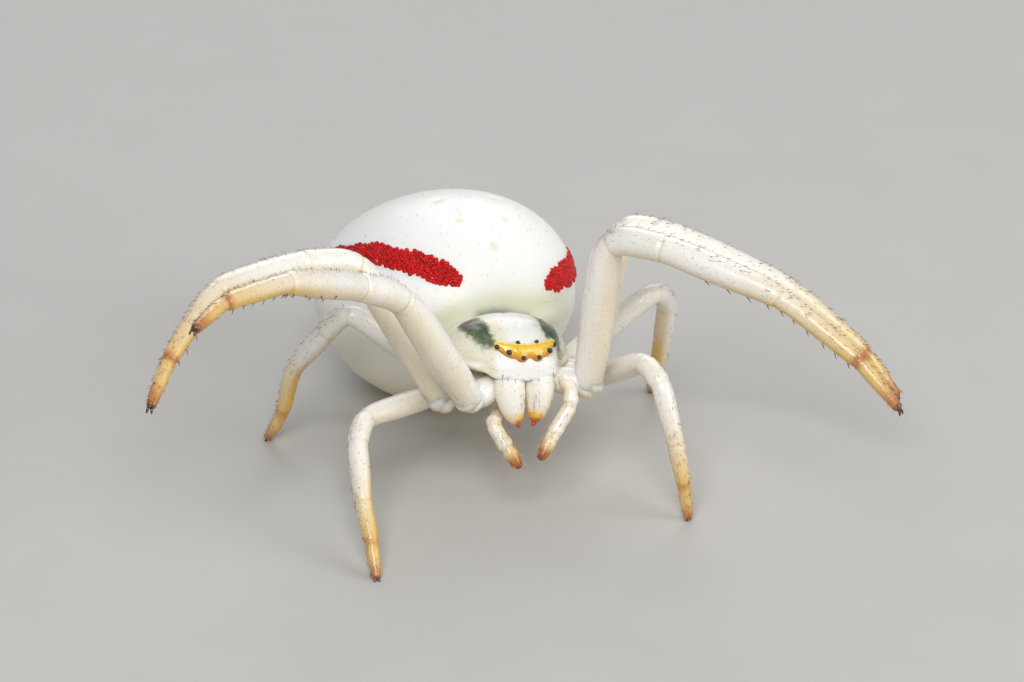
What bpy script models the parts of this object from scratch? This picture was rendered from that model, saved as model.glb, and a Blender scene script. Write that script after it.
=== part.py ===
"""Life-size still model of a crab spider, a white female with red side stripes.

The spider faces -Y and stands on the floor at Z = 0 in its ambush pose: the belly and the
feet of the two hind pairs of legs rest on the floor, and the two long front pairs are raised
and held open. Its own left side is +X. All sizes are real sizes, written in millimetres
times MM, because the scene is in metres.

Run it with Blender 4.5, or from Blender's text editor. It removes the objects in the scene
and models every part of the animal as one named object.
"""

import math

import bmesh
import bpy
from mathutils import Matrix, Vector

MM = 0.001

# Driving sizes of the body

SEAM = 0.10 * MM             # clear space between two parts that touch
CARAPACE_WIDTH = 3.12 * MM
CARAPACE_FRONT = -1.50 * MM  # along Y from the middle of the carapace
CARAPACE_BACK = 1.20 * MM
RIM_LEVEL = -0.30 * MM       # where the carapace is widest
CARAPACE_CENTRE = Vector((-0.224, -3.418, 3.417)) * MM
CARAPACE_PITCH = 9.1         # degrees, nose up
CARAPACE_YAW = 8.1           # the head is turned to the spider's left
CARAPACE_ROLL = 8.3          # the spider's left side hangs lower
TRUNK_CENTRE = Vector((0.0, -3.50, 3.39)) * MM   # frame of the sternum, the waist and the hips
TRUNK_PITCH = 9.0
STERNUM_FRONT = -1.12 * MM
STERNUM_BACK = 1.18 * MM
STERNUM_HALF_WIDTH = 0.74 * MM
STERNUM_DEPTH = 0.68 * MM
STERNUM_LEVEL = -0.34 * MM

ABDOMEN_WIDTH = 6.20 * MM
ABDOMEN_LENGTH = 6.55 * MM
ABDOMEN_CENTRE = Vector((-0.30, 1.05, 2.72)) * MM
ABDOMEN_PITCH = 10.0
ABDOMEN_YAW = 6.0            # the front end is turned to the spider's left

# How blunt the front and the back of each form are: 2 is an ellipse, more is squarer

CARAPACE_BLUNTNESS = (5.0, 2.2)
STERNUM_BLUNTNESS = (3.0, 2.4)
ABDOMEN_BLUNTNESS = (2.1, 2.1)

PEDICEL_RADIUS = 0.30 * MM
PEDICEL_FRONT = (0.0, 0.80, -0.42)  # in the frame of the trunk
PEDICEL_BACK = (-0.04, 1.50, -0.52)
EYE_SOCKET_CLEARANCE = 0.02 * MM
EYE_MOUND_RADIUS = 0.125 * MM
MOUTH_LOBE = (0.30, -0.92, -0.84)   # sideways, back, up in the frame of the carapace
MOUTH_LOBE_RADIUS = 0.24 * MM
MOUTH_LOBE_STRETCH = (0.85, 0.9, 1.15)

# Roundness of the meshes

WELD = 0.0015 * MM           # points nearer than this become one after a union or a cut
BODY_SEGMENTS = 32
BODY_RINGS = 20
LEG_BEVEL = 3                # gives ten sides
FOOT_BEVEL = 2               # gives eight sides

# Half widths of the leg segments at their thickest, for each pair of legs

WIDE_PARTS = ("coxa", "femur", "patella", "tibia", "metatarsus", "tarsus")
LEG_RADII = {
    1: dict(zip(WIDE_PARTS, (0.34, 0.42, 0.36, 0.35, 0.25, 0.18))),
    2: dict(zip(WIDE_PARTS, (0.33, 0.39, 0.34, 0.33, 0.25, 0.18))),
    3: dict(zip(WIDE_PARTS, (0.28, 0.29, 0.26, 0.25, 0.21, 0.16))),
    4: dict(zip(WIDE_PARTS, (0.28, 0.29, 0.26, 0.25, 0.21, 0.16))),
}

# Lengths of femur, patella, tibia, metatarsus and tarsus, for each pair of legs

LEG_LENGTHS = {
    1: (3.90, 1.50, 3.00, 2.40, 1.45),
    2: (3.95, 1.50, 2.95, 2.35, 1.40),
    3: (2.30, 0.90, 1.50, 1.05, 0.90),
    4: (2.90, 0.95, 1.70, 1.20, 0.90),
}

# Where each coxa leaves the sternum, in the frame of the trunk: sideways and back

COXA_ROOTS = {1: (0.54, -0.76), 2: (0.68, -0.36), 3: (0.68, 0.33), 4: (0.42, 0.95)}
COXA_ROOT_LEVEL = -0.66

# Each leg's hip, in the frame of the trunk (sideways, back, up), and the direction of its
# five segments in degrees: round from straight ahead towards the leg's own side, then upwards

LEG_POSES = {
    (1, "right"): ((1.45, -1.15, -0.80), ((67, 58), (65, 28), (51, 24), (51, 11), (41, -1))),
    (2, "right"): ((1.90, -0.45, -0.98), ((117, 59), (75, 13), (59, 8), (43, -21), (33, -25))),
    (3, "right"): ((1.80, 0.30, -1.10), ((65, 4), (26, -13), (9, -38), (1, -39), (5, -43))),
    (4, "right"): ((1.45, 1.00, -0.95), ((105, 38), (139, -52), (144, -52), (119, -79), (121, -63))),
    (1, "left"): ((1.45, -1.15, -0.80), ((65, 84), (42, 4), (46, -10), (38, -24), (38, -39))),
    (2, "left"): ((1.65, -0.35, -0.92), ((100, 78), (82, -18), (73, -26), (67, -41), (65, -53))),
    (3, "left"): ((2.15, 0.28, -1.18), ((15, 34), (9, -10), (26, -68), (45, -77), (50, -81))),
    (4, "left"): ((1.45, 1.00, -0.95), ((88, 36), (139, -50), (173, -66), (174, -62), (169, -46))),
}
SIDES = {"left": 1, "right": -1}
HINGE_BEND = {1: 0.62, 2: 0.66, 3: 0.42, 4: 0.50}   # how far a joint's bend spreads each way
KNEE_SHARE = 0.5             # most of a segment that a bend takes, at the knee and elsewhere
JOINT_SHARE = 0.32
JOINT_WAIST = 0.94           # narrowing at a joint inside one part
CAP_STRAIGHT = 0.09 * MM     # the last stretch before a joint's face
RESTING_LEGS = (3, 4)

# Eyes: sideways and back in the frame of the carapace, and radius

EYES = {
    "median_front": (0.196, -1.454, 0.060),
    "side_front": (0.504, -1.321, 0.070),
    "median_back": (0.242, -1.212, 0.052),
    "side_back": (0.715, -1.114, 0.062),
}
EYE_SINK = 0.04              # how far an eye stands behind its place, in mm
EYE_LIFT = 0.25              # how far it stands out of the shield, as a part of its radius
MOUND_BACK = 0.05            # how far a side eye's mound lies behind the eye, in mm

# Palps: hip, then the way points of the limb, in the frame of the model (mm)

PALP_PATHS = {
    "left": (
        (0.84, -4.65, 2.96),
        (0.93, -5.05, 2.88),
        (0.88, -5.25, 2.54),
        (0.37, -5.52, 1.98),
        (-0.03, -5.80, 1.49),
    ),
    "right": (
        (-0.42, -4.10, 2.55),
        (-0.62, -4.42, 2.13),
        (-1.00, -5.15, 2.25),
        (-0.73, -5.55, 1.74),
        (-0.51, -5.80, 1.34),
    ),
}
PALP_RADII = (0.15, 0.17, 0.18, 0.18, 0.12)
PALP_BEND = 0.14 * MM

# Jaws and fangs: way points in the frame of the jaws and half widths (mm). That frame is the
# carapace's, leant a little about the place where the jaws hang

JAW_PIVOT = Vector((0.0, -1.30, -0.50)) * MM
JAW_LEAN = 4.5
JAW_LINE = (
    ((0.37, -1.22, -0.50), 0.29),
    ((0.38, -1.28, -0.80), 0.32),
    ((0.36, -1.32, -1.10), 0.29),
    ((0.30, -1.33, -1.40), 0.22),
    ((0.24, -1.32, -1.58), 0.12),
)
FANG_LINE = (((0.22, -1.36, -1.44), 0.070), ((0.20, -1.42, -1.62), 0.055), ((0.12, -1.40, -1.74), 0.015))

# Colours: red, green, blue, roughness

FINISHES = {
    "cuticle": (0.86, 0.82, 0.68, 0.35),
    "abdomen": (0.93, 0.92, 0.86, 0.45),
    "limb": (0.88, 0.83, 0.70, 0.30),
    "limb_end": (0.62, 0.42, 0.26, 0.35),
    "eye": (0.02, 0.01, 0.01, 0.08),
    "spinneret": (0.72, 0.60, 0.42, 0.45),
}


def clear_scene():
    """Remove what the file starts with."""
    for item in list(bpy.data.objects):
        bpy.data.objects.remove(item, do_unlink=True)


def named_collection(name):
    """Return a collection of this name, linked to the scene."""
    group = bpy.data.collections.new(name)
    bpy.context.scene.collection.children.link(group)
    return group


def smooth_value(stations, place, column):
    """Read one column of (place, value, ...) stations at a place, on a smooth curve."""
    last = len(stations) - 1
    if place <= stations[0][0]:
        return stations[0][column]
    if place >= stations[last][0]:
        return stations[last][column]
    index = max(i for i in range(last) if stations[i][0] <= place)
    before = stations[max(index - 1, 0)]
    start = stations[index]
    end = stations[index + 1]
    after = stations[min(index + 2, last)]
    span = end[0] - start[0]
    part = (place - start[0]) / span
    slope_in = (end[column] - before[column]) / (end[0] - before[0]) * span
    slope_out = (after[column] - start[column]) / (after[0] - start[0]) * span
    square = part * part
    cube = square * part
    return (
        (2 * cube - 3 * square + 1) * start[column]
        + (cube - 2 * square + part) * slope_in
        + (3 * square - 2 * cube) * end[column]
        + (cube - square) * slope_out
    )


class Form:
    """A closed round form along Y, drawn by stations of half width, height and depth."""

    def __init__(self, front, back, level, stations, blunt_front, blunt_back, grow=0.0):
        self.front = front - grow
        self.back = back + grow
        self.level = level
        self.stations = stations
        self.blunt_front = blunt_front
        self.blunt_back = blunt_back
        self.grow = grow

    def reach(self, along):
        """Return half width, height and depth at a place from -1 (front) to 1 (back)."""
        power = self.blunt_front if along < 0 else self.blunt_back
        taper = max(0.0, 1.0 - abs(along) ** power) ** (1.0 / power)
        return [(smooth_value(self.stations, along, column) + self.grow) * taper for column in (1, 2, 3)]

    def along(self, back):
        """Turn a distance along Y into a place from -1 to 1."""
        return (2.0 * back - self.front - self.back) / (self.back - self.front)

    def top(self, sideways, back):
        """Return the height of the upper surface over a point."""
        width, height, _ = self.reach(self.along(back))
        inside = max(0.0, 1.0 - (sideways / width) ** 2)
        return self.level + height * math.sqrt(inside)

    def mesh(self, segments=BODY_SEGMENTS, rings=BODY_RINGS):
        """Shape a sphere to the stations and return it as a bmesh."""
        form = bmesh.new()
        bmesh.ops.create_uvsphere(form, u_segments=segments, v_segments=rings, radius=1.0,
                                  matrix=Matrix.Rotation(math.radians(90), 4, "X"))
        for vertex in form.verts:
            along = max(-1.0, min(1.0, vertex.co.y))
            around = math.atan2(vertex.co.z, vertex.co.x)
            width, height, depth = self.reach(along)
            lift = height if vertex.co.z > 0 else depth
            middle = (self.front + self.back) / 2
            half = (self.back - self.front) / 2
            if math.hypot(vertex.co.x, vertex.co.z) < 1e-4:
                width = 0.0
                lift = 0.0
            across = width * math.cos(around)
            vertex.co = (across, middle + half * along, self.level + lift * math.sin(around))
        return form


def carapace_form(grow=0.0):
    """The domed shield over the head and legs. Stations: place, half width, height, depth."""
    half = CARAPACE_WIDTH / 2
    stations = [
        (-1.00, 0.56 * half, 0.47 * MM, 0.16 * MM),
        (-0.75, 0.64 * half, 0.77 * MM, 0.20 * MM),
        (-0.50, 0.78 * half, 0.95 * MM, 0.20 * MM),
        (-0.20, 0.94 * half, 1.05 * MM, 0.18 * MM),
        (0.15, 1.01 * half, 1.03 * MM, 0.16 * MM),
        (0.50, 1.06 * half, 0.95 * MM, 0.16 * MM),
        (1.00, 0.90 * half, 0.63 * MM, 0.16 * MM),
    ]
    return Form(CARAPACE_FRONT, CARAPACE_BACK, RIM_LEVEL, stations, *CARAPACE_BLUNTNESS, grow)


def sternum_form(grow=0.0):
    """The breast plate between the legs, with the lower half of the head."""
    stations = [
        (-1.0, 0.95 * STERNUM_HALF_WIDTH, 0.30 * MM, 0.80 * STERNUM_DEPTH),
        (0.0, STERNUM_HALF_WIDTH, 0.30 * MM, STERNUM_DEPTH),
        (1.0, 0.80 * STERNUM_HALF_WIDTH, 0.30 * MM, 0.80 * STERNUM_DEPTH),
    ]
    return Form(STERNUM_FRONT, STERNUM_BACK, STERNUM_LEVEL, stations, *STERNUM_BLUNTNESS, grow)


def abdomen_form(grow=0.0):
    """The heavy round abdomen: widest behind its middle, its belly hanging to the floor."""
    half = ABDOMEN_WIDTH / 2
    stations = [
        (-1.0, 0.90 * half, 2.20 * MM, 2.10 * MM),
        (-0.5, 0.97 * half, 2.30 * MM, 2.55 * MM),
        (0.0, 1.00 * half, 2.32 * MM, 2.85 * MM),
        (0.5, 1.02 * half, 2.20 * MM, 2.70 * MM),
        (1.0, 0.90 * half, 2.00 * MM, 2.20 * MM),
    ]
    reach = ABDOMEN_LENGTH / 2
    return Form(-reach, reach, 0.0, stations, *ABDOMEN_BLUNTNESS, grow)


CARAPACE_FRAME = (
    Matrix.Translation(CARAPACE_CENTRE)
    @ Matrix.Rotation(math.radians(CARAPACE_YAW), 4, "Z")
    @ Matrix.Rotation(math.radians(-CARAPACE_PITCH), 4, "X")
    @ Matrix.Rotation(math.radians(CARAPACE_ROLL), 4, "Y")
)
JAW_FRAME = (
    CARAPACE_FRAME
    @ Matrix.Translation(JAW_PIVOT)
    @ Matrix.Rotation(math.radians(-JAW_LEAN), 4, "Y")
    @ Matrix.Translation(-JAW_PIVOT)
)
TRUNK_FRAME = Matrix.Translation(TRUNK_CENTRE) @ Matrix.Rotation(math.radians(-TRUNK_PITCH), 4, "X")
ABDOMEN_FRAME = (
    Matrix.Translation(ABDOMEN_CENTRE)
    @ Matrix.Rotation(math.radians(ABDOMEN_YAW), 4, "Z")
    @ Matrix.Rotation(math.radians(-ABDOMEN_PITCH), 4, "X")
)


def finish(name, kind):
    """Make one Principled material for an object."""
    red, green, blue, roughness = FINISHES[kind]
    material = bpy.data.materials.new(name + "_" + kind)
    material.use_nodes = True
    shader = material.node_tree.nodes["Principled BSDF"]
    shader.inputs["Base Color"].default_value = (red, green, blue, 1.0)
    shader.inputs["Roughness"].default_value = roughness
    shader.inputs["Metallic"].default_value = 0.0
    return material


def solid(name, form, group, kind=None):
    """Link a bmesh as an object with its own material."""
    mesh = bpy.data.meshes.new(name)
    bmesh.ops.recalc_face_normals(form, faces=form.faces)
    form.to_mesh(mesh)
    form.free()
    item = bpy.data.objects.new(name, mesh)
    group.objects.link(item)
    if kind:
        mesh.materials.append(finish(name, kind))
    return item


def joined_bmesh(parts):
    """Copy several objects' world meshes into one bmesh."""
    form = bmesh.new()
    for part in parts:
        copy = part.data.copy()
        copy.transform(part.matrix_world)
        form.from_mesh(copy)
        bpy.data.meshes.remove(copy)
    return form


def largest_surface(form):
    """Keep only the largest closed surface of a bmesh."""
    left = set(form.faces)
    islands = []
    while left:
        seed = left.pop()
        island = [seed]
        waiting = [seed]
        while waiting:
            face = waiting.pop()
            for edge in face.edges:
                for other in edge.link_faces:
                    if other in left:
                        left.remove(other)
                        island.append(other)
                        waiting.append(other)
        islands.append(island)
    islands.sort(key=lambda faces: sum(face.calc_area() for face in faces), reverse=True)
    spare = [face for island in islands[1:] for face in island]
    bmesh.ops.delete(form, geom=spare, context="FACES")


def tidied(mesh):
    """Weld tiny edges, keep the largest surface and turn its faces out. Return it as a bmesh."""
    form = bmesh.new()
    form.from_mesh(mesh)
    bmesh.ops.remove_doubles(form, verts=form.verts, dist=WELD)
    bmesh.ops.dissolve_degenerate(form, edges=form.edges, dist=WELD)
    bmesh.ops.triangulate(form, faces=form.faces)
    largest_surface(form)
    bmesh.ops.recalc_face_normals(form, faces=form.faces)
    return form


def combine(item, tools, operation):
    """Unite an object with closed tools, or cut them out of it, and apply the result."""
    group = bpy.data.collections.new(item.name + "_tools")
    bpy.context.scene.collection.children.link(group)
    for tool in tools:
        for owner in list(tool.users_collection):
            owner.objects.unlink(tool)
        group.objects.link(tool)
    change = item.modifiers.new(operation.lower(), "BOOLEAN")
    change.operation = operation
    change.operand_type = "COLLECTION"
    change.collection = group
    for solver in ("EXACT", "MANIFOLD"):
        change.solver = solver
        bpy.context.view_layer.update()
        graph = bpy.context.evaluated_depsgraph_get()
        result = tidied(bpy.data.meshes.new_from_object(item.evaluated_get(graph)))
        if all(edge.is_manifold for edge in result.edges):
            break
    item.modifiers.remove(change)
    result.to_mesh(item.data)
    result.free()
    for tool in tools:
        bpy.data.objects.remove(tool, do_unlink=True)
    bpy.data.collections.remove(group)


def tube(name, points, radii, group, bevel=LEG_BEVEL, kind=None):
    """Draw a round tube of changing width as a bevelled curve and return it as a mesh object."""
    curve = bpy.data.curves.new(name, "CURVE")
    curve.dimensions = "3D"
    curve.bevel_depth = MM
    curve.bevel_resolution = bevel
    curve.use_fill_caps = True
    line = curve.splines.new("POLY")
    line.points.add(len(points) - 1)
    for knot, point, radius in zip(line.points, points, radii):
        knot.co = (*point, 1.0)
        knot.radius = radius / MM
    holder = bpy.data.objects.new(name + "_line", curve)
    group.objects.link(holder)
    bpy.context.view_layer.update()
    graph = bpy.context.evaluated_depsgraph_get()
    mesh = bpy.data.meshes.new_from_object(holder.evaluated_get(graph))
    form = bmesh.new()
    form.from_mesh(mesh)
    form.transform(holder.matrix_world)
    bmesh.ops.remove_doubles(form, verts=form.verts, dist=0.001 * MM)
    bpy.data.objects.remove(holder, do_unlink=True)
    return solid(name, form, group, kind)


def ball(name, centre, radius, group, segments=12, rings=8, stretch=(1.0, 1.0, 1.0), kind=None):
    """A small round form."""
    form = bmesh.new()
    place = Matrix.Translation(centre) @ Matrix.Diagonal((*stretch, 1.0))
    bmesh.ops.create_uvsphere(form, u_segments=segments, v_segments=rings, radius=radius, matrix=place)
    return solid(name, form, group, kind)


def heading(turn, rise, side):
    """Unit vector for an angle from straight ahead towards one side, and an angle upwards."""
    turn = math.radians(turn)
    rise = math.radians(rise)
    flat = math.cos(rise)
    return Vector((side * math.sin(turn) * flat, -math.cos(turn) * flat, math.sin(rise)))


def grown_body(grow, group):
    """The whole front body, larger by a clear space all round, to cut its neighbours with."""
    cutters = []
    for form, frame, label in (
        (carapace_form(grow), CARAPACE_FRAME, "carapace_space"),
        (sternum_form(grow), TRUNK_FRAME, "sternum_space"),
    ):
        shape = form.mesh()
        shape.transform(frame)
        cutters.append(solid(label, shape, group))
    cutters.append(pedicel("pedicel_space", grow, group))
    cutters.extend(mouth_lobes(grow, group))
    return cutters


def mouth_lobes(grow, group):
    """The two lobes of the mouth, behind the jaws."""
    lobes = []
    for side in SIDES.values():
        place = CARAPACE_FRAME @ (Vector((side * MOUTH_LOBE[0], MOUTH_LOBE[1], MOUTH_LOBE[2])) * MM)
        radius = MOUTH_LOBE_RADIUS + grow
        lobes.append(ball("mouth_lobe", place, radius, group, stretch=MOUTH_LOBE_STRETCH))
    return lobes


def pedicel(name, grow, group):
    """The narrow waist that leads back from the sternum."""
    start = TRUNK_FRAME @ (Vector(PEDICEL_FRONT) * MM)
    end = TRUNK_FRAME @ (Vector(PEDICEL_BACK) * MM + Vector((0.0, grow, 0.0)))
    middle = (start + end) / 2
    radius = PEDICEL_RADIUS + grow
    return tube(name, [start, middle, end], [radius, radius, radius], group)


def eye_centre(sideways, back, radius, side):
    """Centre of an eye, sunk a little under the carapace's surface."""
    shield = carapace_form()
    height = shield.top(sideways * MM, back * MM)
    place = Vector((side * sideways * MM, (back - EYE_SINK) * MM, height + EYE_LIFT * radius * MM))
    return CARAPACE_FRAME @ place


def build_front_body(parts, cutters):
    """Carapace, sternum, waist, eye mounds and mouth lobes, with sockets for the eyes."""
    shape = carapace_form().mesh()
    shape.transform(CARAPACE_FRAME)
    body = solid("cephalothorax", shape, parts, "cuticle")
    under = sternum_form().mesh(24, 12)
    under.transform(TRUNK_FRAME)
    extras = [solid("sternum", under, cutters), pedicel("pedicel", 0.0, cutters)]
    extras.extend(mouth_lobes(0.0, cutters))
    for side in SIDES.values():
        for label, (sideways, back, radius) in EYES.items():
            if label.startswith("side"):
                place = eye_centre(sideways, back + MOUND_BACK, radius, side)
                extras.append(ball("mound", place, EYE_MOUND_RADIUS, cutters))
    combine(body, extras, "UNION")
    sockets = []
    for side_name, side in SIDES.items():
        for label, (sideways, back, radius) in EYES.items():
            place = eye_centre(sideways, back, radius, side)
            sockets.append(ball("socket", place, radius * MM + EYE_SOCKET_CLEARANCE, cutters, 10, 6))
            ball("eye_" + label + "_" + side_name, place, radius * MM, parts, 12, 7, kind="eye")
    combine(body, sockets, "DIFFERENCE")
    return body


def in_frame(frame, line, side):
    """Turn points in a frame, in mm, into places on one side of the model."""
    return [frame @ (Vector((side * x, y, z)) * MM) for x, y, z in line]


def jaw_tube(name, side, grow, group, kind=None):
    """The tapered body of one jaw."""
    points = in_frame(JAW_FRAME, [place for place, _ in JAW_LINE], side)
    points[0] += (points[0] - points[1]).normalized() * grow
    points[-1] += (points[-1] - points[-2]).normalized() * grow
    return tube(name, points, [width * MM + grow for _, width in JAW_LINE], group, kind=kind)


def build_chelicerae(parts, cutters):
    """The two stout jaws that hang under the head, each with its small fang."""
    for side_name, side in SIDES.items():
        jaw = jaw_tube("chelicera_" + side_name, side, 0.0, parts, "cuticle")
        points = in_frame(JAW_FRAME, [place for place, _ in FANG_LINE], side)
        fang = tube("fang", points, [width * MM for _, width in FANG_LINE], cutters, FOOT_BEVEL)
        combine(jaw, [fang], "UNION")
        combine(jaw, grown_body(SEAM, cutters), "DIFFERENCE")


def build_palps(parts, cutters):
    """The two short feelers beside the jaws, bent down in front of the mouth."""
    for side_name, side in SIDES.items():
        corners = [Vector(point) * MM for point in PALP_PATHS[side_name]]
        points, widths = rounded_path(corners, [radius * MM for radius in PALP_RADII], PALP_BEND)
        limb = tube("palp_" + side_name, points, widths, parts, FOOT_BEVEL, "limb")
        front_leg = Leg(1, side_name)
        space = grown_body(SEAM, cutters) + hip_shapes(front_leg, SEAM, cutters)
        space.append(femur_tube(front_leg, "femur_space", SEAM, cutters))
        space.append(jaw_tube("jaw_space", side, SEAM, cutters))
        combine(limb, space, "DIFFERENCE")


def rounded_path(corners, radii, bend):
    """Round the corners of a line and carry the widths along it."""
    points = [corners[0]]
    widths = [radii[0]]
    for index in range(1, len(corners) - 1):
        corner = corners[index]
        before = (corners[index - 1] - corner).normalized()
        after = (corners[index + 1] - corner).normalized()
        for step in (0.0, 0.5, 1.0):
            start = corner + before * bend
            end = corner + after * bend
            points.append(start * (1 - step) ** 2 + corner * 2 * step * (1 - step) + end * step ** 2)
            widths.append(radii[index])
    points.append(corners[-1])
    widths.append(radii[-1])
    return points, widths


# Width along each segment, as parts of its thickest place: place from 0 to 1, then width

SEGMENT_SHAPES = {
    "femur": ((0.0, 0.74), (0.18, 0.90), (0.45, 1.0), (0.75, 0.95), (1.0, 0.84)),
    "patella": ((0.0, 0.92), (0.45, 1.0), (1.0, 0.92)),
    "tibia": ((0.0, 0.94), (0.30, 1.0), (0.70, 0.92), (1.0, 0.80)),
    "metatarsus": ((0.0, 1.0), (0.5, 0.94), (1.0, 0.84)),
    "tarsus": ((0.0, 1.0), (0.5, 0.90), (1.0, 0.62)),
}
SEGMENTS = ("femur", "patella", "tibia", "metatarsus", "tarsus")
COXA_SHAPE = ((0.0, 0.76), (0.45, 0.94), (0.80, 1.0), (1.0, 0.86))
TROCHANTER = 1.02            # half width at the hip, as a part of the coxa's
FEMUR_START = 0.10 * MM

# Claws: how far the root is sunk and set aside, then way points ahead, down and outwards (mm)

CLAW_SINK = 0.10 * MM
CLAW_SPREAD = 0.045 * MM
CLAW_HOOK = ((0.20, 0.02, 0.01), (0.28, 0.12, 0.02))
CLAW_RADII = (0.045, 0.036, 0.010)
CLAW_BEVEL = 1

# Spinnerets, in the frame of the abdomen (mm): root and way out, then the ring's length and
# half width, and the four cones' height above the middle and length

SPINNERET_ROOT = (0.0, 2.86, -1.05)
SPINNERET_OUT = (0.0, 0.86, -0.50)
SPINNERET_RING = ((0.0, 0.50), (0.22, 0.50), (0.36, 0.34))
SPINNERET_CONES = ((0.14, 0.62), (-0.16, 0.70))
SPINNERET_SPREAD = (0.17, 0.13)
SPINNERET_START = 0.20
CONE_SHAPE = ((0.0, 0.13), (0.6, 0.12), (1.0, 0.05))
CONE_CLOSING = 0.8                  # a cone's height at its tip, as a part of that at its root
SMOOTH_ANGLE = 50


class Leg:
    """One leg: its joints, and a smooth centre line with widths from hip to tip."""

    def __init__(self, pair, side_name):
        self.pair = pair
        self.side_name = side_name
        self.side = SIDES[side_name]
        self.name = "leg%d_%s" % (pair, side_name)
        hip, angles = LEG_POSES[(pair, side_name)]
        self.radii = LEG_RADII[pair]
        self.directions = [heading(turn, rise, self.side) for turn, rise in angles]
        self.joints = in_frame(TRUNK_FRAME, [hip], self.side)
        for direction, length in zip(self.directions, LEG_LENGTHS[pair]):
            self.joints.append(self.joints[-1] + direction * length * MM)

    def width(self, segment, part):
        """Half width of a segment at a place along it from 0 to 1."""
        name = SEGMENTS[segment]
        return smooth_value(SEGMENT_SHAPES[name], part, 1) * self.radii[name] * MM

    def bend_reach(self, joint):
        """How far from a joint its bend begins."""
        shortest = min((self.joints[joint] - self.joints[joint - 1]).length,
                       (self.joints[joint + 1] - self.joints[joint]).length)
        share = KNEE_SHARE if joint == 1 else JOINT_SHARE
        return min(HINGE_BEND[self.pair] * MM, share * shortest)

    def bend_point(self, joint, step):
        """A point on the rounded corner at a joint, from 0 to 1 through the bend."""
        reach = self.bend_reach(joint)
        corner = self.joints[joint]
        start = corner - self.directions[joint - 1] * reach
        end = corner + self.directions[joint] * reach
        return start * (1 - step) ** 2 + corner * 2 * step * (1 - step) + end * step ** 2

    def bend_tangent(self, joint):
        """Direction of the leg in the middle of a joint's bend."""
        return (self.directions[joint - 1] + self.directions[joint]).normalized()

    def joint_width(self, joint):
        """Half width at a joint, between the segments that meet there."""
        return (self.width(joint - 1, 1.0) + self.width(joint, 0.0)) / 2

    def half_bend(self, joint, entering):
        """Points and widths of the half of a bend before or after the joint's middle."""
        width = self.joint_width(joint)
        tangent = self.bend_tangent(joint)
        middle = self.bend_point(joint, 0.5)
        if entering:
            ends = [middle - tangent * reach for reach in (CAP_STRAIGHT, SEAM / 2)]
            segment = self.width(joint - 1, 0.9)
            points = [self.bend_point(joint, step) for step in (0.0, 0.25)] + ends
        else:
            ends = [middle + tangent * reach for reach in (SEAM / 2, CAP_STRAIGHT)]
            segment = self.width(joint, 0.1)
            points = ends + [self.bend_point(joint, step) for step in (0.75, 1.0)]
        widths = [segment, 0.6 * segment + 0.4 * width, 0.2 * segment + 0.8 * width, width]
        return points, widths if entering else widths[::-1]

    def whole_bend(self, joint):
        """Points and widths through a joint inside one part, narrowest at the joint."""
        width = self.joint_width(joint) * JOINT_WAIST
        before = self.width(joint - 1, 0.85)
        after = self.width(joint, 0.15)
        points = [self.bend_point(joint, step) for step in (0.0, 0.5, 1.0)]
        return points, [before, width, after]

    def straight(self, segment, places):
        """Points and widths along the straight middle of a segment."""
        start = self.joints[segment]
        end = self.joints[segment + 1]
        points = [start.lerp(end, place) for place in places]
        return points, [self.width(segment, place) for place in places]


def chain(*pieces):
    """Join lists of points and widths into one line."""
    points = []
    widths = []
    for piece_points, piece_widths in pieces:
        points.extend(piece_points)
        widths.extend(piece_widths)
    return points, widths


def femur_tube(leg, name, grow, group, kind=None):
    """The swollen femur, from the hip to the face of the knee."""
    hip = leg.joints[0]
    base = leg.directions[0] * FEMUR_START
    start = ([hip - base, hip + base * 2], [leg.width(0, 0.0), leg.width(0, 0.0)])
    points, widths = chain(start, leg.straight(0, (0.16, 0.34, 0.55, 0.75)), leg.half_bend(1, True))
    return tube(name, points, [width + grow for width in widths], group, kind=kind)


def hip_shapes(leg, grow, group):
    """Coxa and trochanter of one leg."""
    root_side, root_back = COXA_ROOTS[leg.pair]
    root = in_frame(TRUNK_FRAME, [(root_side, root_back, COXA_ROOT_LEVEL)], leg.side)[0]
    hip = leg.joints[0]
    coxa = leg.radii["coxa"] * MM
    points = [root.lerp(hip, place) for place, _ in COXA_SHAPE]
    widths = [coxa * width + grow for _, width in COXA_SHAPE]
    trochanter = ball("trochanter", hip, coxa * TROCHANTER + grow, group)
    return [tube("coxa", points, widths, group), trochanter]


def build_thigh(leg, before, parts, cutters):
    """Coxa, trochanter and femur in one, cut clear of the body, the jaw and the leg before it."""
    thigh = femur_tube(leg, leg.name + "_femur", 0.0, parts, "limb")
    combine(thigh, hip_shapes(leg, 0.0, cutters), "UNION")
    space = grown_body(SEAM, cutters)
    if before:
        space.extend(hip_shapes(before, SEAM, cutters))
        space.append(femur_tube(before, "femur_space", SEAM, cutters))
    else:
        space.append(jaw_tube("jaw_space", leg.side, SEAM, cutters))
    combine(thigh, space, "DIFFERENCE")


def build_shin(leg, parts):
    """Patella and tibia in one length."""
    points, widths = chain(
        leg.half_bend(1, False),
        leg.straight(1, (0.55,)),
        leg.whole_bend(2),
        leg.straight(2, (0.34, 0.52, 0.70)),
        leg.half_bend(3, True),
    )
    tube(leg.name + "_tibia", points, widths, parts, kind="limb")


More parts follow.
